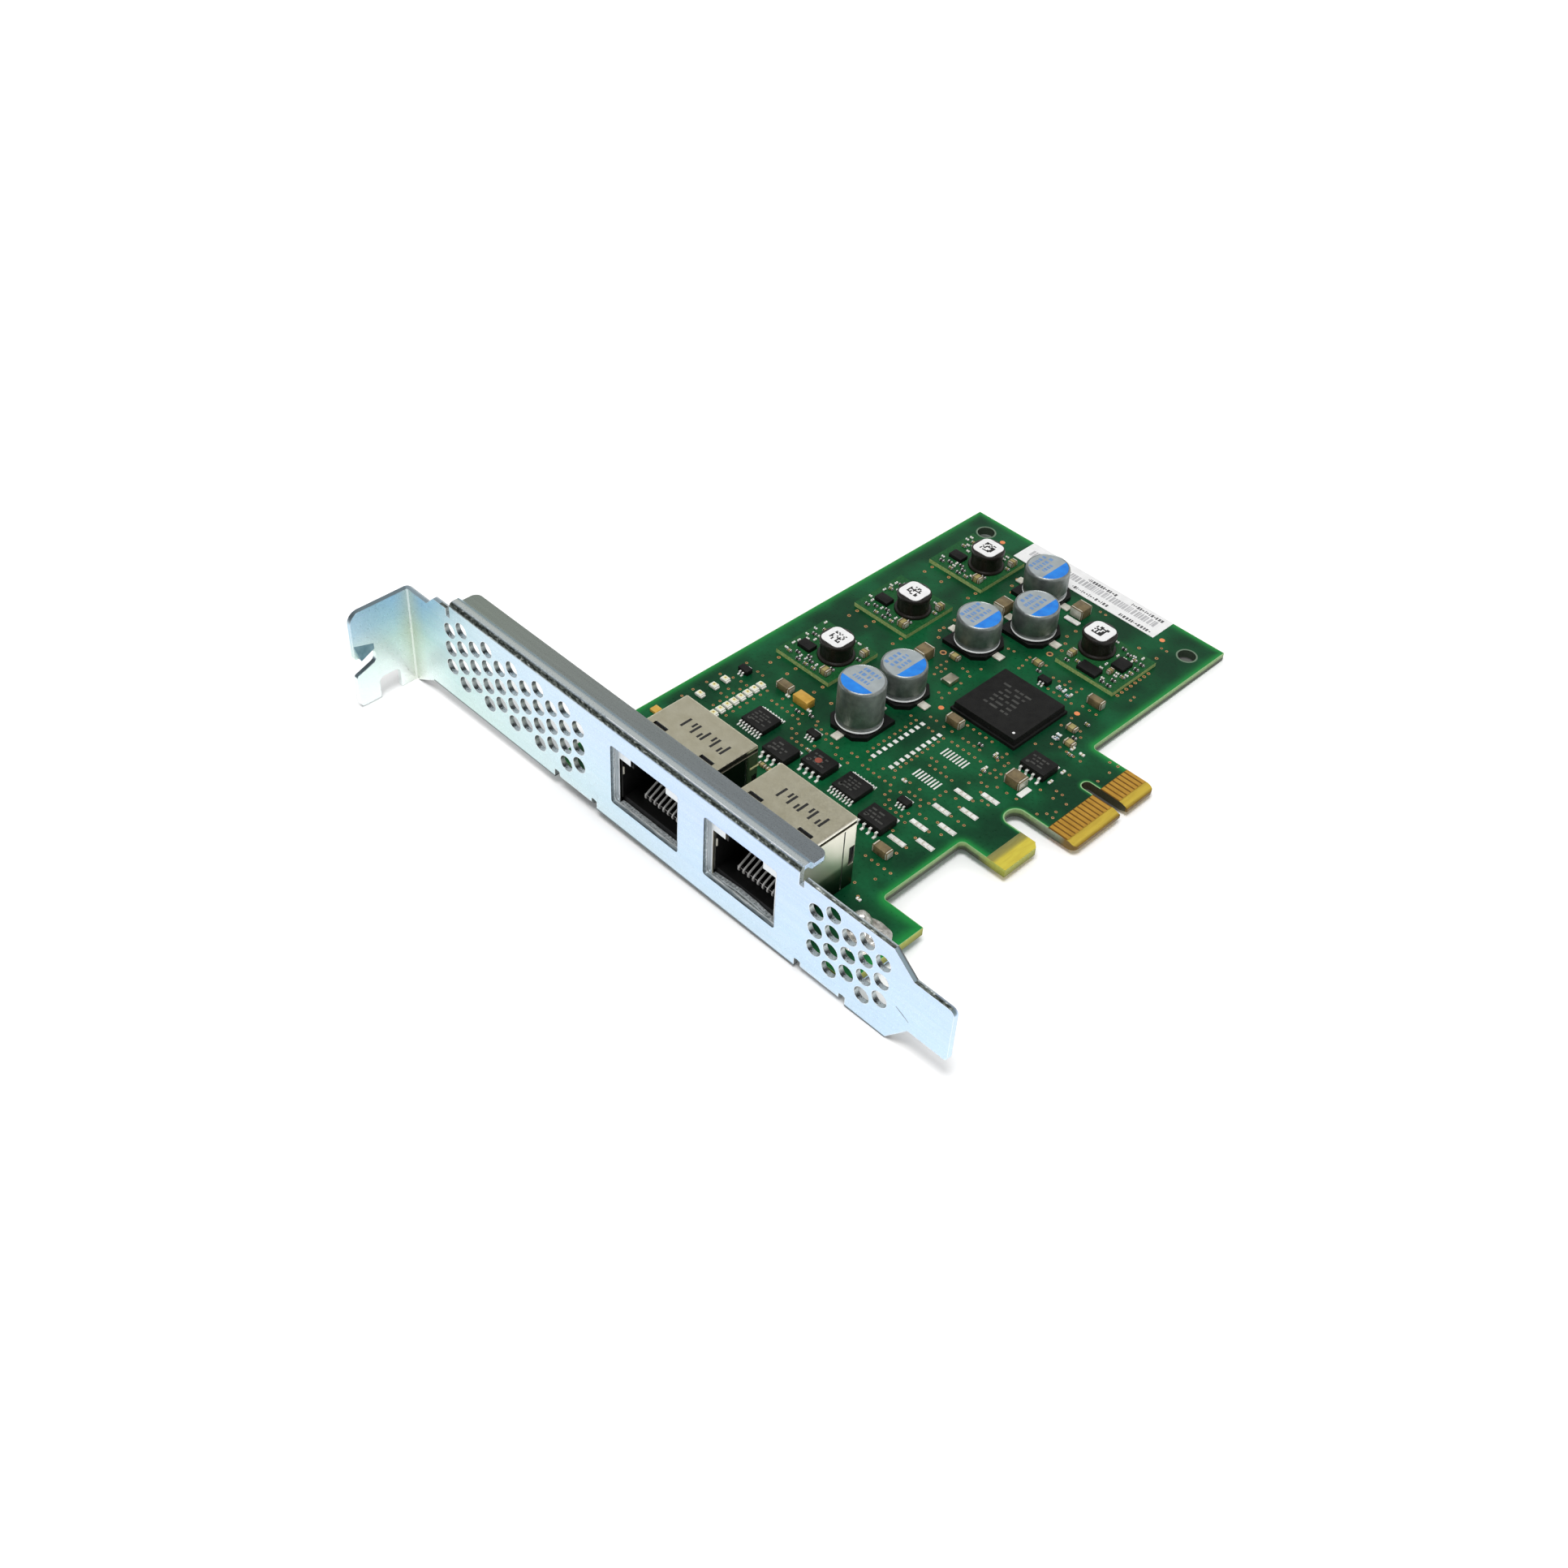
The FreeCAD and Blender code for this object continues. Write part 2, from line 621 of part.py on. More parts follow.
def make_bracket():
    body = new_body("bracket")
    seat = -s.seat
    tail_start = s.shoulder - s.seat
    tail_low = s.tail_rise - s.face_drop
    tail_high = tail_low + s.tail_width
    neck = seat + s.tab_neck
    ramp = face_top - tab_top
    face = draw(body, "XZ_Plane")
    outline(face, [
        (tab_back, -s.tab_drop), (seat + s.bend_land, -s.tab_drop), (neck, -s.face_drop),
        (tail_start - s.shoulder_run, -s.face_drop), (tail_start, tail_low), (tail_end, tail_low),
        (tail_end, tail_high), (tail_start, tail_high), (tail_start - s.shoulder_run, face_top),
        (neck + ramp, face_top), (neck, tab_top), (tab_back, tab_top),
    ])
    grow(body, face, s.sheet)

    tab = draw(body, "YZ_Plane", tab_back)
    notch_far = s.tab_notch_near + s.tab_notch_width
    notch_top = s.tab_notch_height - s.tab_drop
    outline(tab, [
        (s.sheet, -s.tab_drop), (s.sheet, tab_top), (-s.tab_length, tab_top),
        (-s.tab_length, s.slot_high_mouth), (-s.slot_root, s.slot_high_root),
        (-s.slot_root, s.slot_low_root), (-s.tab_length, s.slot_low_mouth), (-s.tab_length, -s.tab_drop),
        (-notch_far, -s.tab_drop), (-notch_far, notch_top), (-s.tab_notch_near, notch_top),
        (-s.tab_notch_near, -s.tab_drop),
    ])
    grow(body, tab, s.sheet)

    flange = draw(body, "YZ_Plane", -s.flange_start)
    low_top = s.flange_top - s.flange_step
    ridge_end = s.flange_ridge + s.flange_step
    outline(flange, [
        (0, face_top), (0, s.flange_top), (s.flange_ridge, s.flange_top), (ridge_end, low_top),
        (s.flange_depth, low_top), (s.flange_depth, low_top - s.sheet),
        (ridge_end - s.sheet / 2, low_top - s.sheet),
        (s.flange_ridge - s.sheet / 2, s.flange_top - s.sheet), (s.sheet, s.flange_top - s.sheet),
        (s.sheet, face_top),
    ])
    grow(body, flange, s.flange_start + s.flange_end)

    reliefs = draw(body, "XZ_Plane")
    relief_low = face_top - s.relief_depth
    rectangle(reliefs, -s.flange_start - s.relief_width, relief_low, -s.flange_start, s.flange_top)
    rectangle(reliefs, s.flange_end, relief_low, s.flange_end + s.relief_width, s.flange_top)
    foot_middles = [s.foot_tab_first + number * s.foot_tab_step for number in range(RIVET_COUNT)]
    for middle in foot_middles:
        left = middle - s.foot_tab_width / 2
        right = middle + s.foot_tab_width / 2
        outline(reliefs, [
            (left - s.foot_slit, -s.face_drop), (right + s.foot_slit, -s.face_drop),
            (right + s.foot_slit, -s.foot_slit_top), (right, -s.foot_slit_top), (right, foot_low),
            (left, foot_low), (left, -s.foot_slit_top), (left - s.foot_slit, -s.foot_slit_top),
        ])
    cut(body, reliefs, s.sheet)

    feet = draw(body, "XY_Plane", foot_low)
    for middle in foot_middles:
        rectangle(feet, middle - s.foot_tab_width / 2, 0, middle + s.foot_tab_width / 2, s.foot_tab_depth)
    grow(body, feet, s.sheet)
    feet_holes = draw(body, "XY_Plane", foot_low)
    for middle in foot_middles:
        circle(feet_holes, middle, s.rivet_line, s.rivet_shank + s.rivet_clearance)
    cut(body, feet_holes, s.sheet)

    soften(body, "Fillet", s.bend_inside, "Z", [(seat, 0)])
    soften(body, "Fillet", s.bend_outside, "Z", [(tab_back, s.sheet)])
    soften(body, "Fillet", s.bend_outside, "X", [(0, s.flange_top), (0, foot_low)])
    soften(body, "Fillet", s.bend_inside, "X", [(s.sheet, s.flange_top - s.sheet),
                                                (s.sheet, foot_low + s.sheet)])
    soften(body, "Fillet", s.tab_high_corner, "X", [(-s.tab_length, tab_top)])
    soften(body, "Fillet", s.tab_low_corner, "X", [(-s.tab_length, -s.tab_drop), (-notch_far, notch_top),
                                                    (-s.tab_notch_near, notch_top)])
    soften(body, "Fillet", s.slot_round, "X", [(-s.slot_root, s.slot_high_root),
                                               (-s.slot_root, s.slot_low_root)])
    soften(body, "Fillet", s.slot_lip, "X", [(-s.tab_length, s.slot_high_mouth),
                                             (-s.tab_length, s.slot_low_mouth)])
    soften(body, "Fillet", s.flange_corner, "Z", [(-s.flange_start, s.flange_depth),
                                                  (s.flange_end, s.flange_depth)])
    soften(body, "Fillet", s.foot_tab_corner, "Z", [
        (middle + side * s.foot_tab_width / 2, s.foot_tab_depth)
        for middle in foot_middles for side in (-1, 1)])
    soften(body, "Fillet", s.tail_low_corner, "Y", [(tail_end, tail_low)])
    soften(body, "Fillet", s.tail_high_corner, "Y", [(tail_end, tail_high)])

    ports = draw(body, "XZ_Plane")
    for middle in port_places:
        rectangle(ports, middle - s.port_width / 2, s.port_bottom, middle + s.port_width / 2,
                  s.port_bottom + s.port_height)
    cut(body, ports, s.sheet)
    soften(body, "Fillet", s.port_corner, "Y", [
        (middle + side * s.port_width / 2, level)
        for middle in port_places for side in (-1, 1)
        for level in (s.port_bottom, s.port_bottom + s.port_height)])

    holes = draw(body, "XZ_Plane")
    right_start = tail_start - s.hole_inset - (RIGHT_COLUMN_COUNT - 1) * s.hole_column
    for start, columns in ((-s.hole_left, LEFT_COLUMN_COUNT), (right_start, RIGHT_COLUMN_COUNT)):
        for column in range(columns):
            tall = column % 2 == 1
            top = s.hole_top + s.hole_pitch / 2 if tall else s.hole_top
            for step in range(TALL_COLUMN_HOLE_COUNT if tall else SHORT_COLUMN_HOLE_COUNT):
                circle(holes, start + column * s.hole_column, top - step * s.hole_pitch, s.hole)
    cut(body, holes, s.sheet)
    place(body)
    keep(body)


def make_rivets():
    body = new_body("bracket_rivets")
    profile = draw(body, "XZ_Plane")
    foot_top = foot_low + s.sheet
    outline(profile, [
        (0, foot_low), (s.rivet_shank / 2, foot_low), (s.rivet_shank / 2, foot_top),
        (s.rivet_collar / 2, foot_top), (s.rivet_collar / 2, board_bottom),
        (s.rivet_shank / 2, board_bottom), (s.rivet_shank / 2, 0),
        (s.rivet_flange / 2, 0), (s.rivet_crown / 2 + s.rivet_flange_height, s.rivet_flange_height),
        (s.rivet_crown / 2, s.rivet_crown_height), (0, s.rivet_crown_height),
    ])
    turned = spin(body, profile)
    repeat(body, turned, "X", RIVET_COUNT, s.foot_tab_step)
    place(body, s.foot_tab_first, s.rivet_line)
    keep(body)


def socket_outline(sketch, spare, low):
    """The plug opening with its latch notch at the top."""
    half = s.socket_width / 2 + spare
    latch = s.latch_width / 2 + spare
    step = s.socket_bottom + s.socket_height + spare
    top = step + s.latch_height
    outline(sketch, [
        (-half, low), (half, low), (half, step), (latch, step), (latch, top), (-latch, top), (-latch, step),
        (-half, step),
    ])


def lip_outline(sketch, number):
    """The shield's folded lip under the plug opening; one of them is bent upwards."""
    half = s.socket_width / 2 + s.frame_edge
    bends = BENT_LIP if number == BENT_LIP_NUMBER else STRAIGHT_LIP
    upper = [(share * half, s.port_bottom + rise * s.lip_bow) for share, rise in bends]
    lower = [(x, level - s.lip_thick) for x, level in reversed(upper)]
    outline(sketch, upper + lower)


def make_jack(number, middle):
    half = s.jack_width / 2
    shell = new_body("jack_shield_%d" % number)
    plan = draw(shell, "XY_Plane")
    rectangle(plan, -half, 0, half, s.jack_depth)
    grow(shell, plan, s.jack_height)
    soften(shell, "Fillet", s.shield_corner, "Z", [(-half, s.jack_depth), (half, s.jack_depth)])
    soften(shell, "Fillet", s.shield_corner, "Y", [(-half, s.jack_height)])
    hollow = draw(shell, "XY_Plane")
    rectangle(hollow, s.shield - half, s.shield, half - s.shield, s.jack_depth - s.shield)
    cut(shell, hollow, s.jack_height - s.shield)
    front = draw(shell, "XZ_Plane")
    socket_outline(front, s.frame_edge, s.port_bottom)
    cut(shell, front, s.shield)
    lip = draw(shell, "XZ_Plane")
    lip_outline(lip, number)
    grow(shell, lip, s.lip_depth)
    slots = draw(shell, "XY_Plane", s.jack_height - s.shield)
    for side in (-1, 1):
        near = side * s.shield_slot_near
        far = side * (s.shield_slot_near + s.shield_slot_length)
        rectangle(slots, near, s.shield_slot_line - s.shield_slot_width / 2, far,
                  s.shield_slot_line + s.shield_slot_width / 2)
    cut(shell, slots, s.shield)
    side_cuts = draw(shell, "YZ_Plane", half - s.shield)
    rectangle(side_cuts, s.shield, s.seam_low, s.jack_depth - s.shield, s.seam_low + s.seam_width)
    rectangle(side_cuts, s.flap_line, s.shield, s.flap_line + s.flap_gap, s.seam_low - s.shield)
    rectangle(side_cuts, s.window_near, s.window_low, s.window_near + s.window_width,
              s.window_low + s.window_height)
    cut(shell, side_cuts, s.shield)
    place(shell, middle, s.jack_front)
    keep(shell)

    insert = new_body("jack_insert_%d" % number)
    plan = draw(insert, "XY_Plane")
    rectangle(plan, s.shield - half, s.shield, half - s.shield, s.jack_depth - s.shield)
    grow(insert, plan, s.jack_height - s.shield)
    cavity = draw(insert, "XZ_Plane", s.shield)
    socket_outline(cavity, 0, s.socket_bottom)
    cut(insert, cavity, s.socket_depth)
    rebate = draw(insert, "YZ_Plane", s.shield - half)
    rectangle(rebate, s.shield, 0, s.lip_depth + s.lip_gap, s.socket_bottom)
    cut(insert, rebate, s.jack_width - 2 * s.shield)
    place(insert, middle, s.jack_front)
    keep(insert)

    wires = new_body("jack_contacts_%d" % number)
    span = (CONTACT_COUNT - 1) * s.contact_pitch
    side = draw(wires, "YZ_Plane", -(span + s.contact_width) / 2)
    top = s.socket_bottom + s.contact_rise
    low_leg_top = s.socket_bottom + s.contact_thick
    outline(side, [
        (s.contact_near, s.socket_bottom), (s.contact_far, s.socket_bottom), (s.contact_far, low_leg_top),
        (s.contact_near + s.contact_split, low_leg_top), (s.contact_far, top),
        (s.contact_far, top + s.contact_thick), (s.contact_near, s.socket_bottom + s.contact_bend),
    ])
    wire = grow(wires, side, s.contact_width)
    repeat(wires, wire, "X", CONTACT_COUNT, span)
    place(wires, middle, s.jack_front)
    keep(wires)


def make_joints():
    """Soldered pin ends of the sockets on the underside of the board."""
    joints = []
    for middle in port_places:
        spots = [
            (middle + (pin_number - (CONTACT_COUNT - 1) / 2) * s.joint_pitch,
             s.jack_front + s.joint_row + (pin_number % 2) * s.joint_row_step)
            for pin_number in range(CONTACT_COUNT)]
        spots += [(middle + side * s.joint_peg, s.jack_front + s.joint_row - s.joint_row_step)
                  for side in (-1, 1)]
        for x, y in spots:
            joint = doc.addObject("Part::Prism", "joint")
            joint.Polygon = JOINT_SIDE_COUNT
            bind(joint, "Circumradius", s.joint_size / 2)
            bind(joint, "Height", s.joint_height)
            place(joint, x, y, board_bottom - s.joint_height)
            joints.append(joint)
    group("jack_solder_joints", joints)


def make_modules():
    for number, (x, y) in enumerate(MODULES, 1):
        keep(block("regulator_board_%d" % number, x, y, 0, s.module_along, s.module_across,
                   s.module_thickness))
    for number, (x, y) in enumerate(COILS, 1):
        body = new_body("regulator_coil_%d" % number)
        profile = draw(body, "XZ_Plane")
        outline(profile, [
            (0, s.module_thickness), (s.coil_flange / 2, s.module_thickness),
            (s.coil_flange / 2, s.module_thickness + s.coil_flange_height),
            (s.coil / 2, s.module_thickness + s.coil_flange_height), (s.coil / 2, s.coil_top - s.coil_round),
            (s.coil / 2 - s.coil_round, s.coil_top), (0, s.coil_top),
        ])
        spin(body, profile)
        place(body, x, y)
        keep(body)
    labels = []
    for x, y in COILS:
        body = new_body("coil_label")
        half = s.coil_label / 2
        plan = draw(body, "XY_Plane")
        rectangle(plan, -half, -half, half, half)
        grow(body, plan, s.coil_label_thickness)
        soften(body, "Fillet", s.coil_label_corner, "Z", [(-half, -half), (half, -half), (half, half),
                                                          (-half, half)])
        place(body, x, y, s.coil_top)
        labels.append(body)
    group("coil_labels", labels)
    chips = []
    for number, (middle_x, middle_y) in enumerate(MODULES, 1):
        listed = TURNED_REGULATOR_CHIPS if number == len(MODULES) else PLAIN_REGULATOR_CHIPS
        for x, y, along, across, height in listed:
            chips.append(block("regulator_chip", middle_x + x, middle_y + y, s.module_thickness, along,
                               across, height))
    group("regulator_chips", chips)


def make_cans():
    terminals = []
    for number, (x, y) in enumerate(CANS, 1):
        top = s.can_tall if number == 1 else s.can_short
        half = s.can_base / 2
        base = new_body("capacitor_base_%d" % number)
        plan = draw(base, "XY_Plane")
        rectangle(plan, -half, -half, half, half)
        grow(base, plan, s.can_base_height)
        marked = [(-half, -half), (half, -half)] if number == 1 else [(half, -half), (half, half)]
        soften(base, "Chamfer", s.can_base_corner, "Z", marked)
        place(base, x, y)
        keep(base)

        can = new_body("capacitor_can_%d" % number)
        profile = draw(can, "XZ_Plane")
        radius = s.can / 2
        groove_top = s.can_groove_low + s.can_groove_width
        outline(profile, [
            (0, s.can_base_height), (radius, s.can_base_height), (radius, s.can_groove_low),
            (radius - s.can_groove, s.can_groove_low + s.can_groove_width / 2), (radius, groove_top),
            (radius, top - s.can_round), (radius - s.can_round, top), (0, top),
        ])
        spin(can, profile)
        place(can, x, y)
        keep(can)

        reach = half + s.terminal_length / 2
        for side in (-1, 1):
            if number == 1:
                terminals.append(block("terminal", x, y + side * reach, 0, s.terminal_width,
                                       s.terminal_length, s.terminal_thickness))
            else:
                terminals.append(block("terminal", x + side * reach, y, 0, s.terminal_length,
                                       s.terminal_width, s.terminal_thickness))
    group("capacitor_terminals", terminals)


def moulded(label, x, y, along, across, low, high):
    """A moulded chip body that narrows slightly towards its top."""
    body = new_body(label)
    plan = draw(body, "XY_Plane", low)
    rectangle(plan, -along / 2, -across / 2, along / 2, across / 2)
    grow(body, plan, high - low, -s.chip_draft)
    place(body, x, y)
    return body


def gull_leads(label, x, y, across, top, counts, pitch, width, reach, foot):
    """Two rows of bent leads that stand on the board and meet the chip's sides."""
    body = new_body(label)
    shoulder = (top + s.chip_lift) / 2
    for side, count in zip((1, -1), counts):
        inner = side * across / 2
        end = inner + side * reach
        knee = end - side * foot
        shin = knee - side * s.lead_thick
        span = (count - 1) * pitch
        profile = draw(body, "YZ_Plane", -(span + width) / 2)
        outline(profile, [
            (inner, shoulder - s.lead_thick), (shin, shoulder - s.lead_thick), (shin, 0), (end, 0),
            (end, s.lead_thick), (knee, s.lead_thick), (knee, shoulder), (inner, shoulder),
        ])
        lead = grow(body, profile, width)
        if count > 1:
            repeat(body, lead, "X", count, span)
    place(body, x, y)
    return body


def make_chips():
    body = new_body("main_chip")
    half = s.main_chip / 2
    plan = draw(body, "XY_Plane")
    rectangle(plan, -half, -half, half, half)
    grow(body, plan, s.main_chip_base)
    cap = draw(body, "XY_Plane", s.main_chip_base)
    inner = half - s.main_chip_inset
    rectangle(cap, -inner, -inner, inner, inner)
    grow(body, cap, s.main_chip_height - s.main_chip_base, -s.chip_draft)
    place(body, *MAIN_CHIP)
    keep(body)

    leads = []
    for number, (x, y) in enumerate(WIDE_CHIPS, 1):
        keep(moulded("driver_chip_%d" % number, x, y, s.wide_chip, s.wide_chip_across, s.chip_lift,
                     s.wide_chip_top))
        leads.append(gull_leads("driver_lead_rows", x, y, s.wide_chip_across, s.wide_chip_top,
                                WIDE_LEAD_COUNTS, s.wide_lead_pitch, s.wide_lead_width, s.lead_reach,
                                s.lead_foot))
    group("driver_leads", leads)
    leads = []
    for number, (x, y) in enumerate(SQUARE_CHIPS, 1):
        keep(moulded("eight_lead_chip_%d" % number, x, y, s.square_chip, s.square_chip_across, s.chip_lift,
                     s.square_chip_top))
        leads.append(gull_leads("eight_lead_rows", x, y, s.square_chip_across, s.square_chip_top,
                                SQUARE_LEAD_COUNTS, s.square_lead_pitch, s.square_lead_width, s.lead_reach,
                                s.lead_foot))
    group("eight_lead_chip_leads", leads)


def make_small_parts():
    ceramics = [(x, y, 0, along, across, height) for x, y, along, across, height in CERAMICS]
    tiny = [(x, y, 0) for x, y in TINY_PARTS]
    for number, (middle_x, middle_y) in enumerate(MODULES, 1):
        turned = number == len(MODULES)
        for x, y, along, across, height in TURNED_REGULATOR_CERAMICS if turned else PLAIN_REGULATOR_CERAMICS:
            ceramics.append((middle_x + x, middle_y + y, s.module_thickness, along, across, height))
        for x, y in TURNED_REGULATOR_TINY if turned else PLAIN_REGULATOR_TINY:
            tiny.append((middle_x + x, middle_y + y, s.module_thickness))
    bodies = []
    ends = []
    for x, y, level, along, across, height in ceramics:
        if along > across:
            bodies.append(block("ceramic", x, y, level, along - 2 * s.end_cap, across, height))
            reach = (along - s.end_cap) / 2
            ends += [block("end_cap", x + side * reach, y, level, s.end_cap, across, height)
                     for side in (-1, 1)]
        else:
            bodies.append(block("ceramic", x, y, level, along, across - 2 * s.end_cap, height))
            reach = (across - s.end_cap) / 2
            ends += [block("end_cap", x, y + side * reach, level, along, s.end_cap, height)
                     for side in (-1, 1)]
    group("ceramic_bodies", bodies)
    group("ceramic_ends", ends)
    group("tiny_parts", [block("tiny_part", x, y, level, s.tiny_length, s.tiny_width, s.tiny_height)
                         for x, y, level in tiny])

    leds = [block("led", s.led_line, s.led_first + number * s.led_step, 0, s.led_length, s.led_width,
                  s.led_height) for number in range(ROW_LED_COUNT)]
    leds += [block("led", s.led_side_line, y, 0, s.led_length, s.led_width, s.led_height) for y in SIDE_LEDS]
    group("indicator_leds", leds)

    small = []
    leads = []
    for x, y, rows in SMALL_CHIPS:
        small.append(moulded("small_chip", x, y, s.small_chip, s.small_chip_across, s.chip_lift,
                             s.small_chip_top))
        leads.append(gull_leads("small_lead_rows", x, y, s.small_chip_across, s.small_chip_top, rows,
                                s.small_lead_pitch, s.small_lead_width, s.small_lead_reach,
                                s.small_lead_foot))
    group("small_chips", small)
    group("small_chip_leads", leads)

    keep(block("crystal", *CRYSTAL, 0, s.crystal_along, s.crystal_across, s.crystal_height))
    keep(moulded("tantalum_capacitor", *TANTALUM, s.tantalum_along, s.tantalum_across, 0,
                 s.tantalum_height))
    keep(block("amber_part", *AMBER_PART, 0, s.amber_side, s.amber_side, s.amber_height))
    label_far = s.board_far - s.label_margin
    keep(block("board_label", (s.label_start + s.label_end) / 2, (s.label_near + label_far) / 2, 0,
               s.label_end - s.label_start, label_far - s.label_near, s.label_thickness))


make_board()
make_fingers()
make_bracket()
make_rivets()
for port, port_middle in zip(PORT_NUMBERS, port_places):
    make_jack(port, port_middle)
make_joints()
make_modules()
make_cans()
make_chips()
make_small_parts()
doc.recompute()

for thing in doc.Objects:
    if "Invalid" in thing.State or "Error" in thing.State:
        raise RuntimeError("%s did not build: %s" % (thing.Name, thing.State))
for node in NODES:
    if node.Shape.isNull() or not node.Shape.isValid() or not node.Shape.Solids:
        raise RuntimeError("%s has no sound solid" % node.Label)
os.makedirs("parts", exist_ok=True)
for node in NODES:
    node.Shape.exportStep("parts/%s.step" % node.Label)
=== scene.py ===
import math
import random

import bmesh
import bpy
from mathutils import Matrix, Vector


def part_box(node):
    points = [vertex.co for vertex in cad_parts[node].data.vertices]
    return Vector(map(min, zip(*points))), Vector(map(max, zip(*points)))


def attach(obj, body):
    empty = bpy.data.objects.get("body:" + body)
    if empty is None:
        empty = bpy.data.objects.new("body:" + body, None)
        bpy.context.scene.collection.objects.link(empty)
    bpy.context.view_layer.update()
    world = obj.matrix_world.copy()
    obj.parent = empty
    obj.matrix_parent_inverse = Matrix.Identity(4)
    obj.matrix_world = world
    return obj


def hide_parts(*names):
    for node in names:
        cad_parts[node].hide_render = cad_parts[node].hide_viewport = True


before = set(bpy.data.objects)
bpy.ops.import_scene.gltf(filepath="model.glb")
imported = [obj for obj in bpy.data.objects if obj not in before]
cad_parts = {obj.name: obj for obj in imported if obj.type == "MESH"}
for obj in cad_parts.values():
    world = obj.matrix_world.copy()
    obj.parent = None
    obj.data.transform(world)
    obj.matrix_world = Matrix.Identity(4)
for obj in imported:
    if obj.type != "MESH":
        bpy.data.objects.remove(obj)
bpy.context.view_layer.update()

# Places are given in millimetres on the card: u runs from the board's left edge towards the
# card-edge tongue, y from the bracket's outer face to the board's far end, z up from the board.
MM = 0.001
CARD_AXES = "uyz"
BOARD_LOW, BOARD_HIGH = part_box("circuit_board")
BOARD_END = 104.04
BOARD_BOTTOM = -1.57
SHEET = 0.86
TAB_FACE = -35.95
ORIGIN = Vector((BOARD_LOW.x, BOARD_HIGH.y - BOARD_END * MM, BOARD_HIGH.z))
FULL_TURN = 2 * math.pi
# How far print stands proud of a surface, and how far small pieces sink into the board
PRINT = 0.012
SUNK = -0.01
SOCKETS = (1, 2)
REGULATORS = range(1, 5)
CANS = range(1, 6)
draw = random.Random(7)


def at(u, y, z=0.0):
    return ORIGIN + Vector((u, y, z)) * MM


def frame_place(axis, value):
    """Frame coordinate of a place on one axis of the card."""
    return ORIGIN[CARD_AXES.index(axis)] + value * MM


def on_card(point):
    return (point - ORIGIN) / MM


def span(node):
    low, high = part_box(node)
    return on_card(low), on_card(high)


def middle_of(low, high):
    return (low.x + high.x) / 2, (low.y + high.y) / 2


def islands(node):
    """Boxes of a node's separate solids, on the card."""
    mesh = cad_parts[node].data
    parent = {}

    def root(key):
        while parent[key] != key:
            parent[key] = parent[parent[key]]
            key = parent[key]
        return key

    keys = [tuple(round(c * 1e6) for c in vertex.co) for vertex in mesh.vertices]
    for key in keys:
        parent.setdefault(key, key)
    for edge in mesh.edges:
        first, second = (root(keys[i]) for i in edge.vertices)
        parent[first] = second
    boxes = {}
    for vertex, key in zip(mesh.vertices, keys):
        place = on_card(vertex.co)
        low, high = boxes.setdefault(root(key), (place.copy(), place.copy()))
        for axis in range(3):
            low[axis] = min(low[axis], place[axis])
            high[axis] = max(high[axis], place[axis])
    return sorted(boxes.values(), key=lambda box: (round(box[0].x, 2), round(box[0].y, 2)))


# Materials

def colour(red, green, blue):
    """Linear colour from screen values of 0 to 255."""
    linear = []
    for value in (red, green, blue):
        share = value / 255
        linear.append(share / 12.92 if share <= 0.04045 else ((share + 0.055) / 1.055) ** 2.4)
    return (*linear, 1.0)


def grey(value):
    return (value, value, value, 1.0)


class Output:
    """Output of a node, on which plain arithmetic adds math nodes; a bar means the larger one."""

    def __init__(self, nodes, socket):
        self.nodes, self.socket = nodes, socket

    def __add__(self, other):
        return self.nodes.math("ADD", self, other)

    def __sub__(self, other):
        return self.nodes.math("SUBTRACT", self, other)

    def __rsub__(self, other):
        return self.nodes.math("SUBTRACT", other, self)

    def __mul__(self, other):
        return self.nodes.math("MULTIPLY", self, other)

    def __lt__(self, other):
        return self.nodes.math("LESS_THAN", self, other)

    def __gt__(self, other):
        return self.nodes.math("GREATER_THAN", self, other)

    def __or__(self, other):
        return self.nodes.math("MAXIMUM", self, other)

    def __abs__(self):
        return self.nodes.math("ABSOLUTE", self)


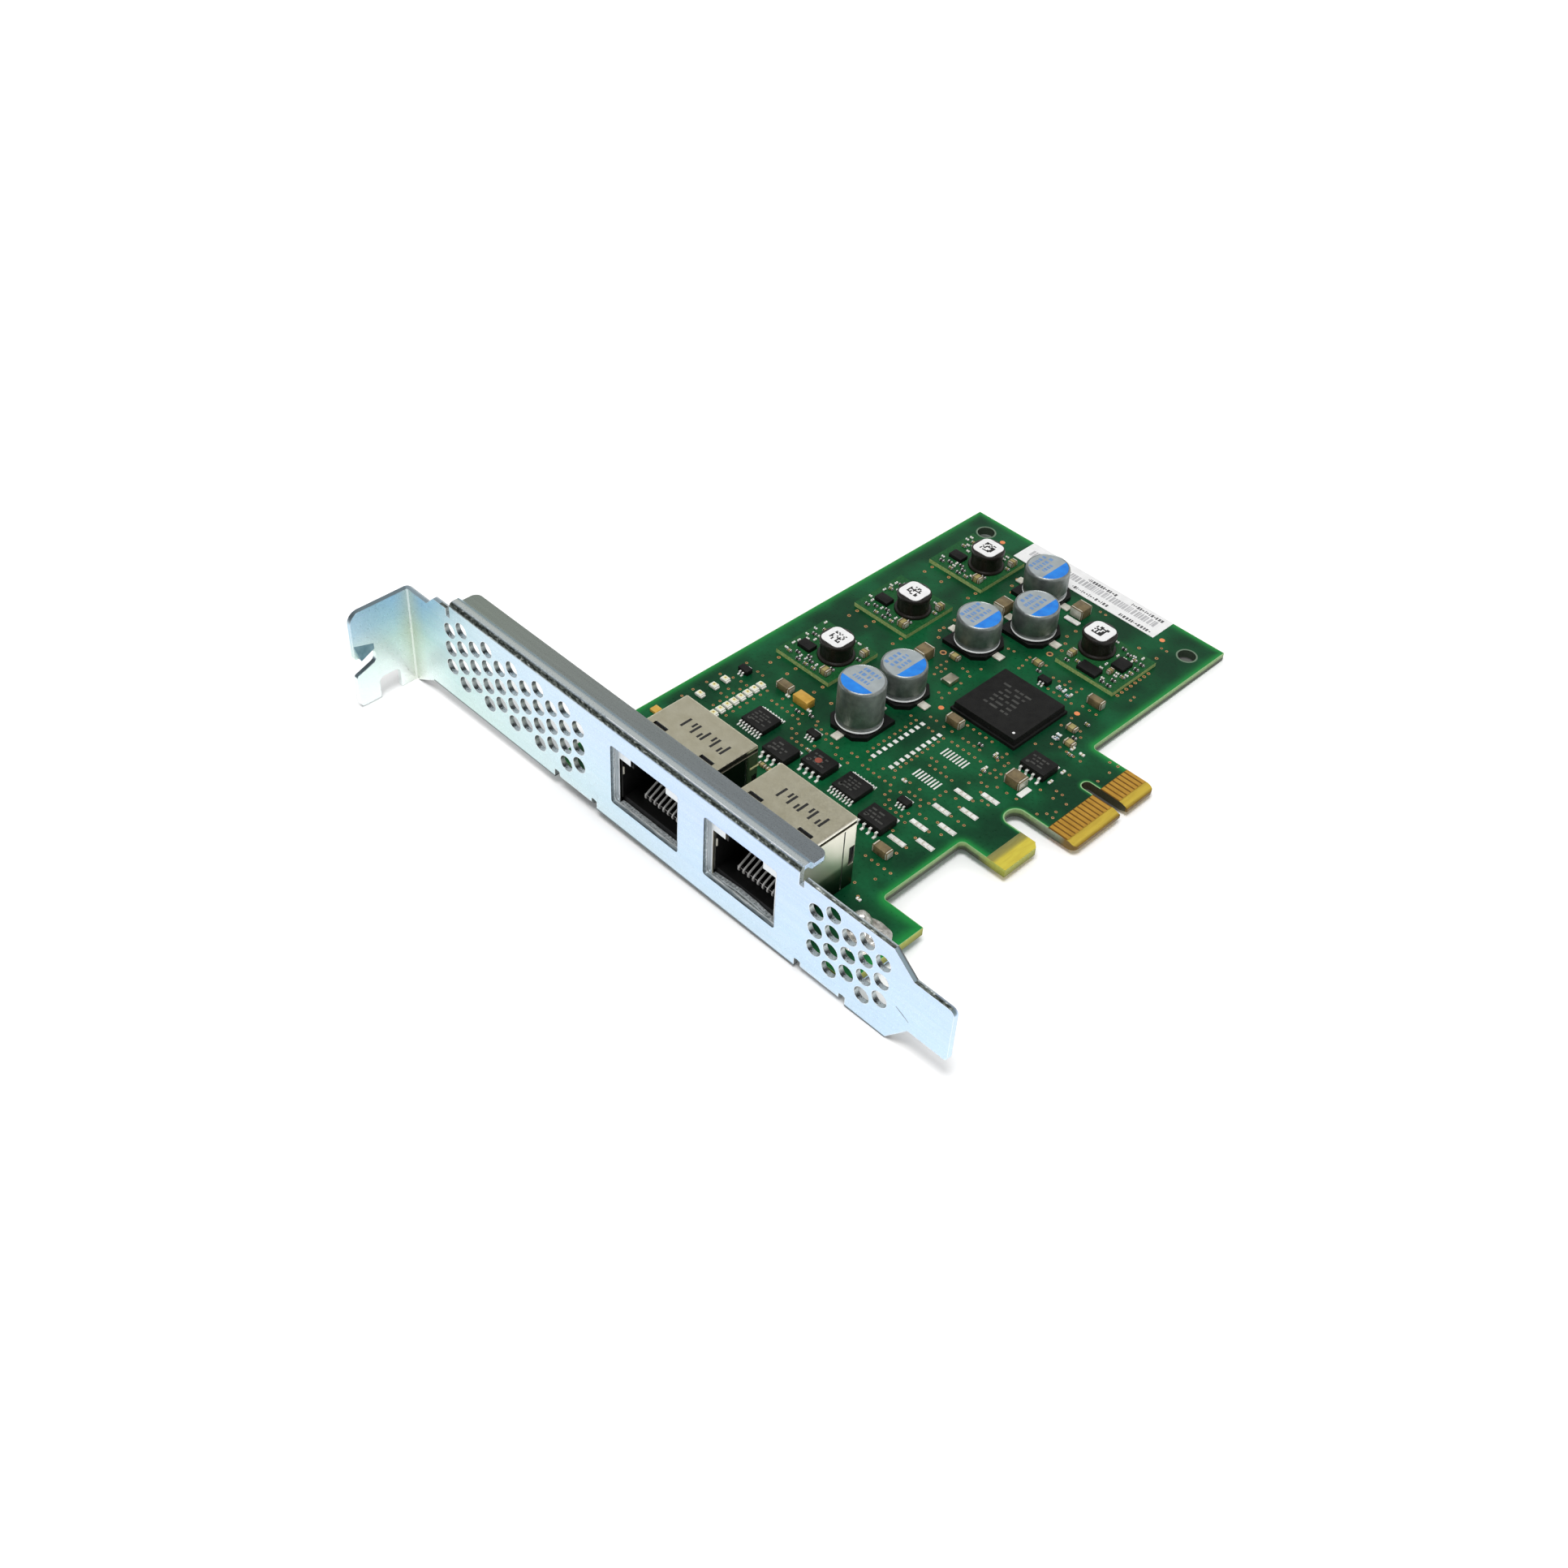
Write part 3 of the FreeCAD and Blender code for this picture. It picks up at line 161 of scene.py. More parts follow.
class Nodes:
    """The nodes of a material or of the world, with short calls for the common ones."""

    def __init__(self, tree):
        self.nodes, self.links = tree.nodes, tree.links

    def node(self, kind, inputs=(), **settings):
        made = self.nodes.new(kind)
        for name, value in settings.items():
            setattr(made, name, value)
        for name, value in dict(inputs).items():
            self.join(made.inputs[name], value)
        return made

    def out(self, kind, output, inputs=(), **settings):
        return Output(self, self.node(kind, inputs, **settings).outputs[output])

    def join(self, socket, value):
        if isinstance(value, Output):
            self.links.new(value.socket, socket)
        else:
            socket.default_value = value

    def math(self, operation, first, second=0.0):
        return self.out("ShaderNodeMath", "Value", {0: first, 1: second}, operation=operation)

    def mix(self, factor, first, second, blend="MIX"):
        inputs = {"Factor": factor, 6: first, 7: second}
        return self.out("ShaderNodeMix", 2, inputs, data_type="RGBA", blend_type=blend)

    def paint(self, base, mask, tone):
        """Lays a screen colour over the base where the mask is set."""
        return self.mix(mask, base, colour(*tone))

    def ramp(self, factor, *stops):
        """Colour ramp from stops of a place and a screen colour, a grey level or a linear colour."""
        made = self.node("ShaderNodeValToRGB", {"Fac": factor})
        elements = made.color_ramp.elements
        while len(elements) < len(stops):
            elements.new(1.0)
        for element, (place, *shade) in zip(elements, stops):
            element.position = place
            if len(shade) == 3:
                element.color = colour(*shade)
            else:
                element.color = shade[0] if isinstance(shade[0], tuple) else grey(shade[0])
        return Output(self, made.outputs["Color"])

    def axis(self, source, name):
        return self.out("ShaderNodeSeparateXYZ", name, {"Vector": source})

    def share(self, value, start, end):
        """How far a value has come from start to end, kept within 0 and 1."""
        inputs = {"Value": value, "From Min": start, "From Max": end}
        return self.out("ShaderNodeMapRange", "Result", inputs)

    def ray(self, kind):
        return self.out("ShaderNodeLightPath", f"Is {kind} Ray")


class Look(Nodes):
    """A material round one principled shader, which can ask for a point's u, y and z on the card."""

    def __init__(self, name, **sockets):
        self.material = bpy.data.materials.new(name)
        self.material.use_nodes = True
        super().__init__(self.material.node_tree)
        self.shader = self.nodes["Principled BSDF"]
        self.place = self.out("ShaderNodeTexCoord", "Object")
        split = self.node("ShaderNodeSeparateXYZ", {"Vector": self.place})
        self.card = {axis: Output(self, socket) for axis, socket in zip(CARD_AXES, split.outputs)}
        for socket, value in sockets.items():
            self.set(socket.replace("_", " "), value)

    def set(self, socket, value):
        self.join(self.shader.inputs[socket], value)

    def noise(self, grain, detail=3.0, stretch=(1, 1, 1)):
        """Noise with features of about grain millimetres, longer along a stretched axis."""
        scale = [1 / (grain * MM * share) for share in stretch]
        moved = self.out("ShaderNodeMapping", "Vector", {"Vector": self.place, "Scale": scale})
        return self.out("ShaderNodeTexNoise", "Fac", {"Vector": moved, "Scale": 1.0, "Detail": detail})

    def bump(self, height, strength, depth, rounding=0.0):
        inputs = {"Height": height, "Strength": strength, "Distance": depth * MM}
        if rounding:
            inputs["Normal"] = self.rounded(rounding)
        self.set("Normal", self.out("ShaderNodeBump", "Normal", inputs))

    def rounded(self, radius):
        """Surface direction with the edges softened by a radius in millimetres."""
        return self.out("ShaderNodeBevel", "Normal", {"Radius": radius * MM}, samples=6)

    def normal(self, name):
        return self.axis(self.out("ShaderNodeNewGeometry", "Normal"), name)

    def upright(self):
        return abs(self.normal("Z")) < 0.4

    def run(self, axis, start, end):
        """How far a point has come along a card axis from start to end, within 0 and 1."""
        return self.share(self.card[axis], frame_place(axis, start), frame_place(axis, end))

    def past(self, axis, limit):
        return self.card[axis] > frame_place(axis, limit)

    def before(self, axis, limit):
        return self.card[axis] < frame_place(axis, limit)

    def away(self, axis, middle):
        """Distance in metres from a place on a card axis."""
        return abs(self.card[axis] - frame_place(axis, middle))


PLAIN_DRIFT = 6
PLAIN_DETAIL = 4.0


def plain_look(name, dark, light, grain, rough, bump, sockets=()):
    """A material whose colour and gloss drift with one noise and whose skin has a finer one."""
    look = Look(name, **dict(sockets))
    fine = look.noise(grain, PLAIN_DETAIL)
    look.set("Base Color", look.ramp(look.noise(grain * PLAIN_DRIFT, PLAIN_DETAIL),
                                     (0.3, *dark), (0.7, *light)))
    look.set("Roughness", look.ramp(fine, (0.25, rough[0]), (0.75, rough[1])))
    look.bump(fine, bump, grain * 0.2)
    return look


FOLD_HEIGHT = 14.6
RIM_WIDTH = 0.32
HOLE_FIELDS = (13, 53.5)


def zinc_look(name, rounding):
    """Rolled, passivated zinc: bluish, iridescent at the screw tab, dark and speckled along the fold,
    with painted light and shade on the flange, its joggle, the cut edges, the holes and the bottom
    edge.
    """
    look = Look(name, Metallic=1.0)
    streak = look.noise(0.5, 4, (30, 1, 1))
    speck = look.noise(0.22, 3)
    up = look.normal("Z")
    wander = (look.noise(14, 3, (2, 1, 1)) - 0.5) * (18 * MM)

    def wandering(axis, strength, start, end):
        moved = look.card[axis] + wander * strength
        return look.share(moved, frame_place(axis, start), frame_place(axis, end))

    body = look.ramp(wandering("u", 1.0, -36.5, 84), (0.0, 200, 224, 227), (0.12, 209, 230, 229),
                     (0.3, 214, 232, 238), (0.6, 211, 229, 246), (1.0, 207, 227, 249))
    tint = look.ramp(wandering("z", 0.25, -5, 13), (0.0, 246, 253, 252), (0.3, 232, 248, 243),
                     (0.55, 206, 226, 220), (0.78, 180, 210, 224), (1.0, 172, 204, 226))
    fade = look.ramp(wandering("z", 0.4, -3, 12), (0.0, 252, 255, 251), (0.45, 245, 251, 253),
                     (1.0, 240, 243, 255))
    body = look.mix(look.run("u", -24, -33), look.mix(1.0, body, fade, "MULTIPLY"), tint)
    crease = look.share(look.away("u", TAB_FACE + 0.35), 3.4 * MM, 0.4 * MM) * look.run("y", -3.2, -0.4)
    body = look.paint(body, crease * 0.55, (208, 214, 196))
    # Painted shade: the upward faces of the flange darkened and warmed
    flange_top_shade = look.share(up, 0.5, 0.9) * look.run("y", 0.6, 2.2)
    body = look.mix(flange_top_shade, body, look.mix(1.0, body, colour(214, 204, 186), "MULTIPLY"))
    # Painted highlight: a blue line along the flange's joggle step
    joggle_highlight = look.run("z", 15.6, 15.9) * look.share(look.away("y", 2.15), 0.5 * MM, 0.15 * MM)
    body = look.paint(body, joggle_highlight * 0.6, (160, 192, 212))
    skin = look.mix(0.12, body, look.ramp(streak, (0.3, 0.45), (0.7, 0.95)), "OVERLAY")

    ends = look.before("u", -27) | look.past("u", 73.2)
    crown = ends | look.past("z", FOLD_HEIGHT)
    # Dark, speckled band along the fold and the tab's edges; paler and bluish, as painted light, on
    # faces towards +X and on the tab
    folded = look.share(up, 0.1, 0.4) * look.run("y", 0.75, 0.5) * crown
    fold_tone = look.ramp(look.noise(0.3, 4, (2.2, 1, 1)), (0.36, 54, 60, 56), (0.55, 112, 120, 114),
                        (0.64, 160, 168, 162), (0.7, 250, 252, 250))
    slant = look.share(look.normal("X"), 0.25, 0.45) | look.before("u", -27)
    fold_tone = look.paint(fold_tone, slant, (142, 160, 170))

    sideways = abs(look.normal("Y")) < 0.3
    cut = sideways * look.before("y", SHEET + 0.01) * look.past("y", -0.01) * look.before("u", 80)
    # Cut edges of the sheet: grey, with a painted reflection that runs from dark at the front to bright
    # at the back, broken up by noise
    sill = look.run("y", 0, SHEET + 0.01) + (look.noise(0.3, 3, (6, 1, 2)) - 0.5) * 0.9
    cut_edge_shading = look.ramp(sill, (0.0, 66, 76, 80), (0.25, 118, 130, 136), (0.6, 156, 168, 172),
                          (0.85, 226, 232, 234), (1.0, 250, 252, 252))
    pierced = look.before("u", HOLE_FIELDS[0]) | look.past("u", HOLE_FIELDS[1])
    # Painted shade and highlights in the holes' walls: bands of dark and light by how far a wall faces
    # up, paler where it faces -X
    lean = up + (speck - 0.5) * 0.45
    hole_wall_shading = look.ramp(look.share(lean, -0.9, 1.0), (0.0, 20, 24, 22), (0.3, 60, 66, 64),
                     (0.46, 150, 158, 156), (0.6, 222, 229, 228), (0.76, 168, 178, 180),
                     (0.86, 22, 24, 24), (0.93, 30, 34, 34), (1.0, 196, 208, 214))
    hole_wall_shading = look.paint(hole_wall_shading, look.share(look.normal("X"), 0.1, -0.25), (196, 210, 218))
    cut_edge_shading = look.mix(pierced * 0.85, cut_edge_shading, hole_wall_shading)
    if rounding:
        # Painted highlight: a pale ring round each hole's rim on the front face
        rim = look.share(look.axis(look.rounded(RIM_WIDTH), "Y"), -0.995, -0.9) * pierced
        rim = rim * (look.normal("Y") < -0.9)
        skin = look.paint(skin, rim * 0.75, (250, 252, 250))
    # Painted highlight: a pale, less metallic band on the flange's top beside the fold
    ridge_highlight = look.run("y", 0.6, 0.95) * look.run("y", 1.9, 1.55) * look.share(up, 0.7, 0.95) * crown
    skin = look.paint(skin, ridge_highlight * 0.8, (188, 194, 190))
    look.set("Metallic", 1.0 - (cut | ridge_highlight) * 0.6)
    skin = look.mix(cut, skin, cut_edge_shading)
    # Painted contact shadow: a dark line along the face's bottom edge
    bottom_edge_shadow = look.run("z", -2.8, -3.05) * look.past("u", -30.8)
    skin = look.paint(skin, bottom_edge_shadow * 0.9, (70, 78, 82))
    look.set("Base Color", look.mix(folded, skin, fold_tone))
    look.set("Roughness", look.mix(folded, look.ramp(speck, (0.2, 0.22), (0.8, 0.4)), grey(0.45)))
    look.bump(streak * 0.4 + speck, 0.22, 0.05, rounding)
    return look


# The rectangle round the board
BOARD_RANGE = {"u": (0, 68.9), "y": (1.3, BOARD_END)}
# What is cut from its right side, as root u, low y, high y, corner radius
BOARD_STEPS = ((64.4, -40, 17.15, 0), (56.2, 17.15, 35.1, 0.9), (64.9, 17.3, 45.0, 0),
               (56.2, 67.25, 140, 0.9))
BOARD_NOTCHES = ((56.75, 43.3, 47.2, 1.8), (60.55, 58.41, 60.31, 0.9))
STEP_LENGTH = 30.0
TOOLING_HOLES = ((5.2, 99.8), (52.3, 98.45))
TONGUE_START = 45
MASK_END = 63.3
TAB_MASK_SHORT = 2.2


def cut_distance(look, cuts):
    """Distance in metres from the nearest of the cuts with rounded corners, outside them."""
    nearest = None
    for root, low_y, high_y, corner in cuts:
        squares = []
        for axis, start, end in (("u", root, root + STEP_LENGTH), ("y", low_y, high_y)):
            away = look.away(axis, (start + end) / 2) - ((end - start) / 2 - corner) * MM
            away = look.math("MAXIMUM", away, 0.0)
            squares.append(away * away)
        outside = look.math("SQRT", look.math("ADD", *squares)) - corner * MM
        nearest = look.math("MINIMUM", nearest, outside) if nearest else outside
    return nearest


def edge_distance(look):
    """Distance in metres from the board's outline without its notches, inside it."""
    inside = cut_distance(look, BOARD_STEPS)
    for axis, (low, high) in BOARD_RANGE.items():
        depth = (high - low) / 2 * MM - look.away(axis, (low + high) / 2)
        inside = look.math("MINIMUM", inside, depth)
    return inside


def board_look():
    """Solder mask on top and below, bare laminate at the edges and past the mask's end, with painted
    shade low on the edges, in the key notch and in the tooling holes.
    """
    look = Look("board_green", Specular_IOR_Level=0.2)
    fine = look.noise(0.6, 4)
    mask = look.ramp(look.noise(9, 2), (0.38, 3, 55, 31), (0.5, 6, 69, 38), (0.62, 10, 86, 49))
    mask = look.mix(0.25, mask, look.ramp(fine, (0.3, 0.3), (0.7, 0.75)), "OVERLAY")
    rim, notch = edge_distance(look), cut_distance(look, BOARD_NOTCHES)
    foot = look.run("u", 54, 58) * look.before("y", 18) * 0.4
    depth = look.math("MINIMUM", rim * (1.0 - foot), notch * 2.2)
    border = look.ramp(look.share(depth, 1.9 * MM, 0.15 * MM), (0.0, 0.0), (0.4, 0.14), (0.68, 0.5),
                       (0.88, 0.92), (1.0, 1.0))
    mask = look.paint(mask, border, (30, 134, 62))
    line = look.share(rim, 0.12 * MM, 0.05 * MM) * (rim > 0.0) | look.share(notch, 0.26 * MM, 0.14 * MM)
    mask = look.paint(mask, line, (146, 186, 132))
    shaded_hole_walls = []
    for hole in TOOLING_HOLES:
        away = look.out("ShaderNodeVectorMath", "Value", {0: look.place, 1: at(*hole)},
                        operation="DISTANCE")
        mask = look.paint(mask, look.share(away, 1.95 * MM, 1.8 * MM), (112, 132, 112))
        shaded_hole_walls.append(away < 2.6 * MM)

    weave = look.ramp(look.noise(0.5, 2, (1, 6, 1)), (0.3, 0.35), (0.7, 0.65))
    tongue = look.past("y", TONGUE_START)
    tab = look.ramp(look.run("u", 61.2, 63.6), (0.0, 128, 126, 78), (0.45, 150, 142, 74),
                    (0.7, 204, 188, 70))
    fingers = look.ramp(look.run("u", MASK_END, 68.9), (0.0, 104, 70, 22), (0.65, 116, 82, 28),
                        (0.71, 190, 162, 60), (0.9, 196, 170, 66), (1.0, 120, 90, 32))
    bare = look.mix(0.3, look.mix(tongue, tab, fingers), weave, "OVERLAY")
    # Edges: darker towards the bottom as painted shade, lighter at the top as painted highlight
    rise = look.run("z", BOARD_BOTTOM, 0)
    edge = look.ramp(rise, (0.0, 40, 46, 32), (0.42, 72, 86, 56), (0.6, 130, 156, 100),
                     (1.0, 154, 188, 126))
    tab_edge = look.ramp(rise, (0.0, 120, 124, 40), (0.5, 160, 162, 56), (1.0, 184, 190, 80))
    tongue_edge = look.ramp(rise, (0.0, 56, 56, 42), (0.5, 112, 118, 96), (1.0, 160, 170, 146))
    tongue_edge = look.paint(tongue_edge, look.run("u", 65.6, 66.8), (116, 90, 34))
    edge = look.mix(look.run("u", 59.5, 62.5), edge, look.mix(tongue, tab_edge, tongue_edge))
    # Painted shadow on the walls of the key notch
    slot = look.past("y", 58) * look.before("y", 61) * look.past("u", 60) * look.before("u", 68.5)
    edge = look.paint(edge, slot, (72, 70, 50))
    # Painted shade on the walls of the tooling holes
    edge = look.paint(edge, shaded_hole_walls[0] | shaded_hole_walls[1], (62, 76, 62))
    edge = look.mix(0.3, edge, weave, "OVERLAY")
    start = frame_place("u", MASK_END) - look.before("y", TONGUE_START) * (TAB_MASK_SHORT * MM)
    unmasked = (look.card["u"] > start) * look.past("y", 25)
    look.set("Base Color", look.mix(look.upright(), look.mix(unmasked, mask, bare), edge))
    look.set("Roughness", look.ramp(fine, (0.3, 0.26), (0.7, 0.42)))
    look.bump(fine, 0.12, 0.03)
    return look


def module_look():
    """Solder mask of the small boards, with pale laminate at their edges."""
    look = Look("module_green", Specular_IOR_Level=0.2)
    fine = look.noise(0.4, 3)
    top = look.ramp(fine, (0.3, 16, 72, 36), (0.7, 30, 94, 48))
    edge = look.ramp(fine, (0.3, 148, 172, 98), (0.7, 186, 204, 138))
    look.set("Base Color", look.mix(look.upright(), top, edge))
    look.set("Roughness", look.ramp(fine, (0.3, 0.35), (0.7, 0.5)))
    look.bump(fine, 0.1, 0.03)
    return look


def tin_look():
    """Satin tin plate, with painted shade on the flank of the first socket that faces the second, a
    painted paler front, a painted grey lip and painted reflection and shade on the outer flank of the
    second.
    """
    look = Look("jack_tin", Metallic=1.0)
    fine = look.noise(0.35, 4)
    tin = look.ramp(look.noise(2.1, 4), (0.3, 218, 212, 186), (0.7, 232, 227, 204))
    # Painted shade on the flank of the first socket that faces the second
    flank = look.normal("X") > 0.5
    flank_shade = look.mix(look.run("y", 13.4, 14.1), colour(40, 40, 36), colour(140, 140, 116))
    tin = look.mix(flank * look.before("u", 34), tin, flank_shade)
    # Painted highlight: paler where the shield faces the bracket
    tin = look.paint(tin, look.share(look.normal("Y"), -0.4, -0.8), (222, 227, 230))
    # Painted light on the up-facing lip: a grey, less metallic tone in place of its reflection
    lip = (look.normal("Z") > 0.4) * look.before("z", 6) * look.before("y", 3)
    tin = look.mix(lip, tin, look.ramp(fine, (0.35, 120, 128, 130), (0.7, 214, 220, 222)))
    look.set("Metallic", 1.0 - lip * 0.7)
    # Painted reflection and shade on the second socket's outer flank: dark at the bottom, bright at the
    # top
    outer = look.ramp(look.run("z", 0, 8), (0.0, 34, 46, 36), (0.4, 70, 86, 70), (0.58, 132, 140, 120),
                      (0.68, 226, 222, 204), (1.0, 244, 240, 226))
    look.set("Base Color", look.mix(flank * look.past("u", 45), tin, outer))
    look.set("Roughness", look.ramp(fine, (0.25, 0.28), (0.75, 0.42)))
    look.bump(fine, 0.14, 0.07, 0.12)
    return look


# Dark and light colour, grain in millimetres, lowest and highest roughness, bump, other sockets
PLAIN_LOOKS = {
    "contact_gold": ((186, 138, 46), (208, 158, 60), 0.3, (0.26, 0.4), 0.1, {"Metallic": 0.35}),
    "solder": ((216, 216, 211), (248, 248, 244), 0.25, (0.2, 0.4), 0.25, {"Metallic": 0.1}),
    "contact_wire": ((236, 235, 231), (252, 252, 250), 0.2, (0.16, 0.3), 0.1, {"Metallic": 0.2}),
    "rivet_grey": ((128, 122, 112), (238, 237, 232), 0.22, (0.18, 0.5), 0.8, {"Metallic": 0.75}),
    "bent_zinc": ((104, 136, 148), (176, 202, 212), 0.5, (0.28, 0.42), 0.1, {"Metallic": 1.0}),
    "tiny_blue": ((150, 178, 196), (176, 200, 214), 0.2, (0.35, 0.5), 0.1),
    "scratch_line": ((120, 132, 140), (168, 178, 186), 0.15, (0.4, 0.6), 0.1, {"Metallic": 1.0}),
    "black_plastic": ((5, 5, 5), (11, 11, 11), 0.25, (0.4, 0.6), 0.2, {"Specular_IOR_Level": 0.3}),
    "coil_black": ((14, 11, 8), (28, 22, 16), 0.3, (0.3, 0.5), 0.2),
    "label_white": ((236, 236, 236), (246, 246, 246), 0.2, (0.45, 0.6), 0.06),
    "can_grey": ((142, 148, 148), (172, 177, 176), 0.2, (0.42, 0.6), 0.25, {"Metallic": 1.0}),
    "chip_black": ((13, 13, 13), (25, 25, 24), 0.2, (0.5, 0.7), 0.2, {"Specular_IOR_Level": 0.25}),
    "ceramic_brown": ((98, 84, 58), (132, 116, 82), 0.2, (0.35, 0.55), 0.12),
    "ceramic_olive": ((150, 138, 84), (176, 164, 110), 0.2, (0.35, 0.55), 0.12),
    "tiny_part": ((20, 20, 21), (52, 50, 46), 0.2, (0.35, 0.6), 0.12),
    "led_white": ((226, 226, 214), (242, 242, 232), 0.2, (0.35, 0.5), 0.08),
    "led_lens": ((224, 220, 158), (240, 238, 190), 0.2, (0.2, 0.35), 0.06),
    "led_core": ((170, 140, 84), (196, 168, 110), 0.15, (0.3, 0.45), 0.06),
    "crystal_metal": ((196, 190, 168), (214, 208, 190), 0.2, (0.32, 0.45), 0.08, {"Metallic": 1.0}),
    "tantalum_yellow": ((190, 146, 54), (216, 172, 78), 0.2, (0.35, 0.5), 0.1),
    "via_copper": ((160, 112, 66), (196, 146, 96), 0.15, (0.35, 0.55), 0.1),
    # Painted shade for the inside of via holes
    "via_hole_shade": ((34, 24, 14), (62, 42, 22), 0.15, (0.5, 0.7), 0.1),
    "print_blue": ((16, 116, 214), (30, 140, 236), 0.25, (0.35, 0.5), 0.08),
    "print_faint_blue": ((92, 132, 186), (116, 152, 198), 0.2, (0.4, 0.55), 0.06),
    "print_black": ((16, 16, 16), (34, 34, 34), 0.2, (0.45, 0.6), 0.06),
    "print_dark": ((74, 74, 76), (104, 104, 106), 0.2, (0.45, 0.6), 0.06),
    "print_grey": ((176, 176, 178), (200, 200, 202), 0.3, (0.45, 0.6), 0.06),
    "chip_mark": ((48, 48, 46), (70, 70, 67), 0.15, (0.5, 0.7), 0.06),
    "fiducial": ((226, 124, 70), (242, 152, 100), 0.2, (0.3, 0.45), 0.08),
    "red_dot": ((120, 52, 40), (150, 72, 56), 0.2, (0.5, 0.7), 0.06),
    "end_tin": ((194, 191, 176), (238, 235, 223), 0.2, (0.3, 0.45), 0.15, {"Metallic": 0.3}),
    "can_top": ((150, 158, 160), (166, 174, 176), 0.3, (0.45, 0.6), 0.1),
    # Painted glint for the white band low on the cans
    "can_foot_glint": ((240, 242, 242), (252, 253, 253), 0.3, (0.3, 0.45), 0.06),
}
LOOKS = {name: plain_look(name, *row) for name, row in PLAIN_LOOKS.items()}
LOOKS["bracket_zinc"] = zinc_look("bracket_zinc", 0.2)
LOOKS["bracket_patch"] = zinc_look("bracket_patch", 0.0)
LOOKS["board_green"] = board_look()
LOOKS["module_green"] = module_look()
LOOKS["jack_tin"] = tin_look()


# Shapes

CORNERS = ((-1, -1), (1, -1), (1, 1), (-1, 1))
CAP_SHARE = 0.34


def turned_point(middle, u, y, turn):
    """Point at u and y from a middle, in axes that are turned by an angle."""
    sine, cosine = math.sin(turn), math.cos(turn)
    return middle[0] + u * cosine - y * sine, middle[1] + u * sine + y * cosine


def add_object(name, data):
    made = bpy.data.objects.new(name, data)
    bpy.context.scene.collection.objects.link(made)
    return made


class Form:
    """A mesh under construction, in card millimetres, with one material slot for each look."""

    def __init__(self, *looks):
        self.mesh = bmesh.new()
        self.looks = looks

    def slot_of(self, look):
        return self.looks.index(look)

    def vertex(self, u, y, z):
        return self.mesh.verts.new(at(u, y, z))

    def block(self, low, high, rounding, look, steps=2):
        """Box with rounded edges."""
        low, high = Vector(low), Vector(high)
        size = high - low
        matrix = Matrix.Translation(at(*((low + high) / 2))) @ Matrix.Diagonal((*(size * MM), 1.0))
        made = bmesh.ops.create_cube(self.mesh, size=1.0, matrix=matrix)
        edges = {edge for vertex in made["verts"] for edge in vertex.link_edges}
        for face in {face for edge in edges for face in edge.link_faces}:
            face.material_index = self.slot_of(look)
        offset = min(rounding, min(size) * 0.45) * MM
        bmesh.ops.bevel(self.mesh, geom=list(edges), offset=offset, segments=steps,
                        profile=0.5, affect="EDGES")

    def pad(self, middle, half_u, half_y, top, rounding, look, bottom=SUNK, steps=2):
        """Block round a middle, sunk into the board unless it has a bottom of its own."""
        u, y = middle
        self.block((u - half_u, y - half_y, bottom), (u + half_u, y + half_y, top), rounding, look,
                   steps)

    def plate(self, points, bottom, top, look):
        """Flat piece with the given outline, counter-clockwise from above."""
        self.prism([(u, y, bottom) for u, y in points], (0, 0, top - bottom), look)

    def prism(self, points, shift, look):
        """Straight solid between a flat outline and the same outline shifted."""
        lower = [self.vertex(*point) for point in points]
        upper = [self.mesh.verts.new(vertex.co + Vector(shift) * MM) for vertex in lower]
        faces = [self.mesh.faces.new(upper), self.mesh.faces.new(lower[::-1])]
        for i in range(len(points)):
            j = (i + 1) % len(points)
            faces.append(self.mesh.faces.new((lower[i], lower[j], upper[j], upper[i])))
        for face in faces:
            face.material_index = self.slot_of(look)

    def bar(self, middle, size, bottom, look, turn=0.0):
        """Thin printed rectangle, turned by an angle."""
        points = [turned_point(middle, side_u * size[0] / 2, side_y * size[1] / 2, turn)
                  for side_u, side_y in CORNERS]
        self.plate(points, bottom, bottom + PRINT, look)

    def turned(self, u, y, profile, look, closed=False, steps=48):
        """Body of revolution about an upright axis from (radius, height) pairs, or triples
        whose last value names the look of the band that follows."""
        rings = []
        for radius, height, *_ in profile:
            points = circle(u, y, radius, steps) if radius else [(u, y)]
            rings.append([self.vertex(*point, height) for point in points])
        bands = [stop[2] if len(stop) > 2 else look for stop in profile]
        self.loft(rings + rings[:1] if closed else rings, bands)

    def loft(self, rings, bands):
        """Faces between rings of vertices, or single vertices, with the looks of the bands."""
        for first, second, look in zip(rings, rings[1:], bands):
            steps = max(len(first), len(second))
            for i in range(steps):
                j = (i + 1) % steps
                corners = [first[i % len(first)], first[j % len(first)],
                           second[j % len(second)], second[i % len(second)]]
                face = self.mesh.faces.new(list(dict.fromkeys(corners)))
                face.material_index = self.slot_of(look)

    def disc(self, u, y, radius, bottom, top, look, steps):
        self.turned(u, y, [(0, bottom), (radius, bottom), (radius, top), (0, top)], look, steps=steps)

    def dot(self, u, y, radius, bottom, look, height=PRINT):
        self.plate(circle(u, y, radius), bottom, bottom + height, look)

    def piece(self, name, slot, *nodes, smooth=35):
        """Finishes the mesh as a piece of the card, which may stand for CAD nodes."""
        data = bpy.data.meshes.new(name)
        bmesh.ops.recalc_face_normals(self.mesh, faces=self.mesh.faces)
        self.mesh.to_mesh(data)
        self.mesh.free()
        for look in self.looks:
            data.materials.append(LOOKS[look].material)
        data.shade_smooth()
        data.set_sharp_from_angle(angle=math.radians(smooth))
        made = add_object(name, data)
        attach(made, "root")
        if nodes:
            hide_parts(*nodes)


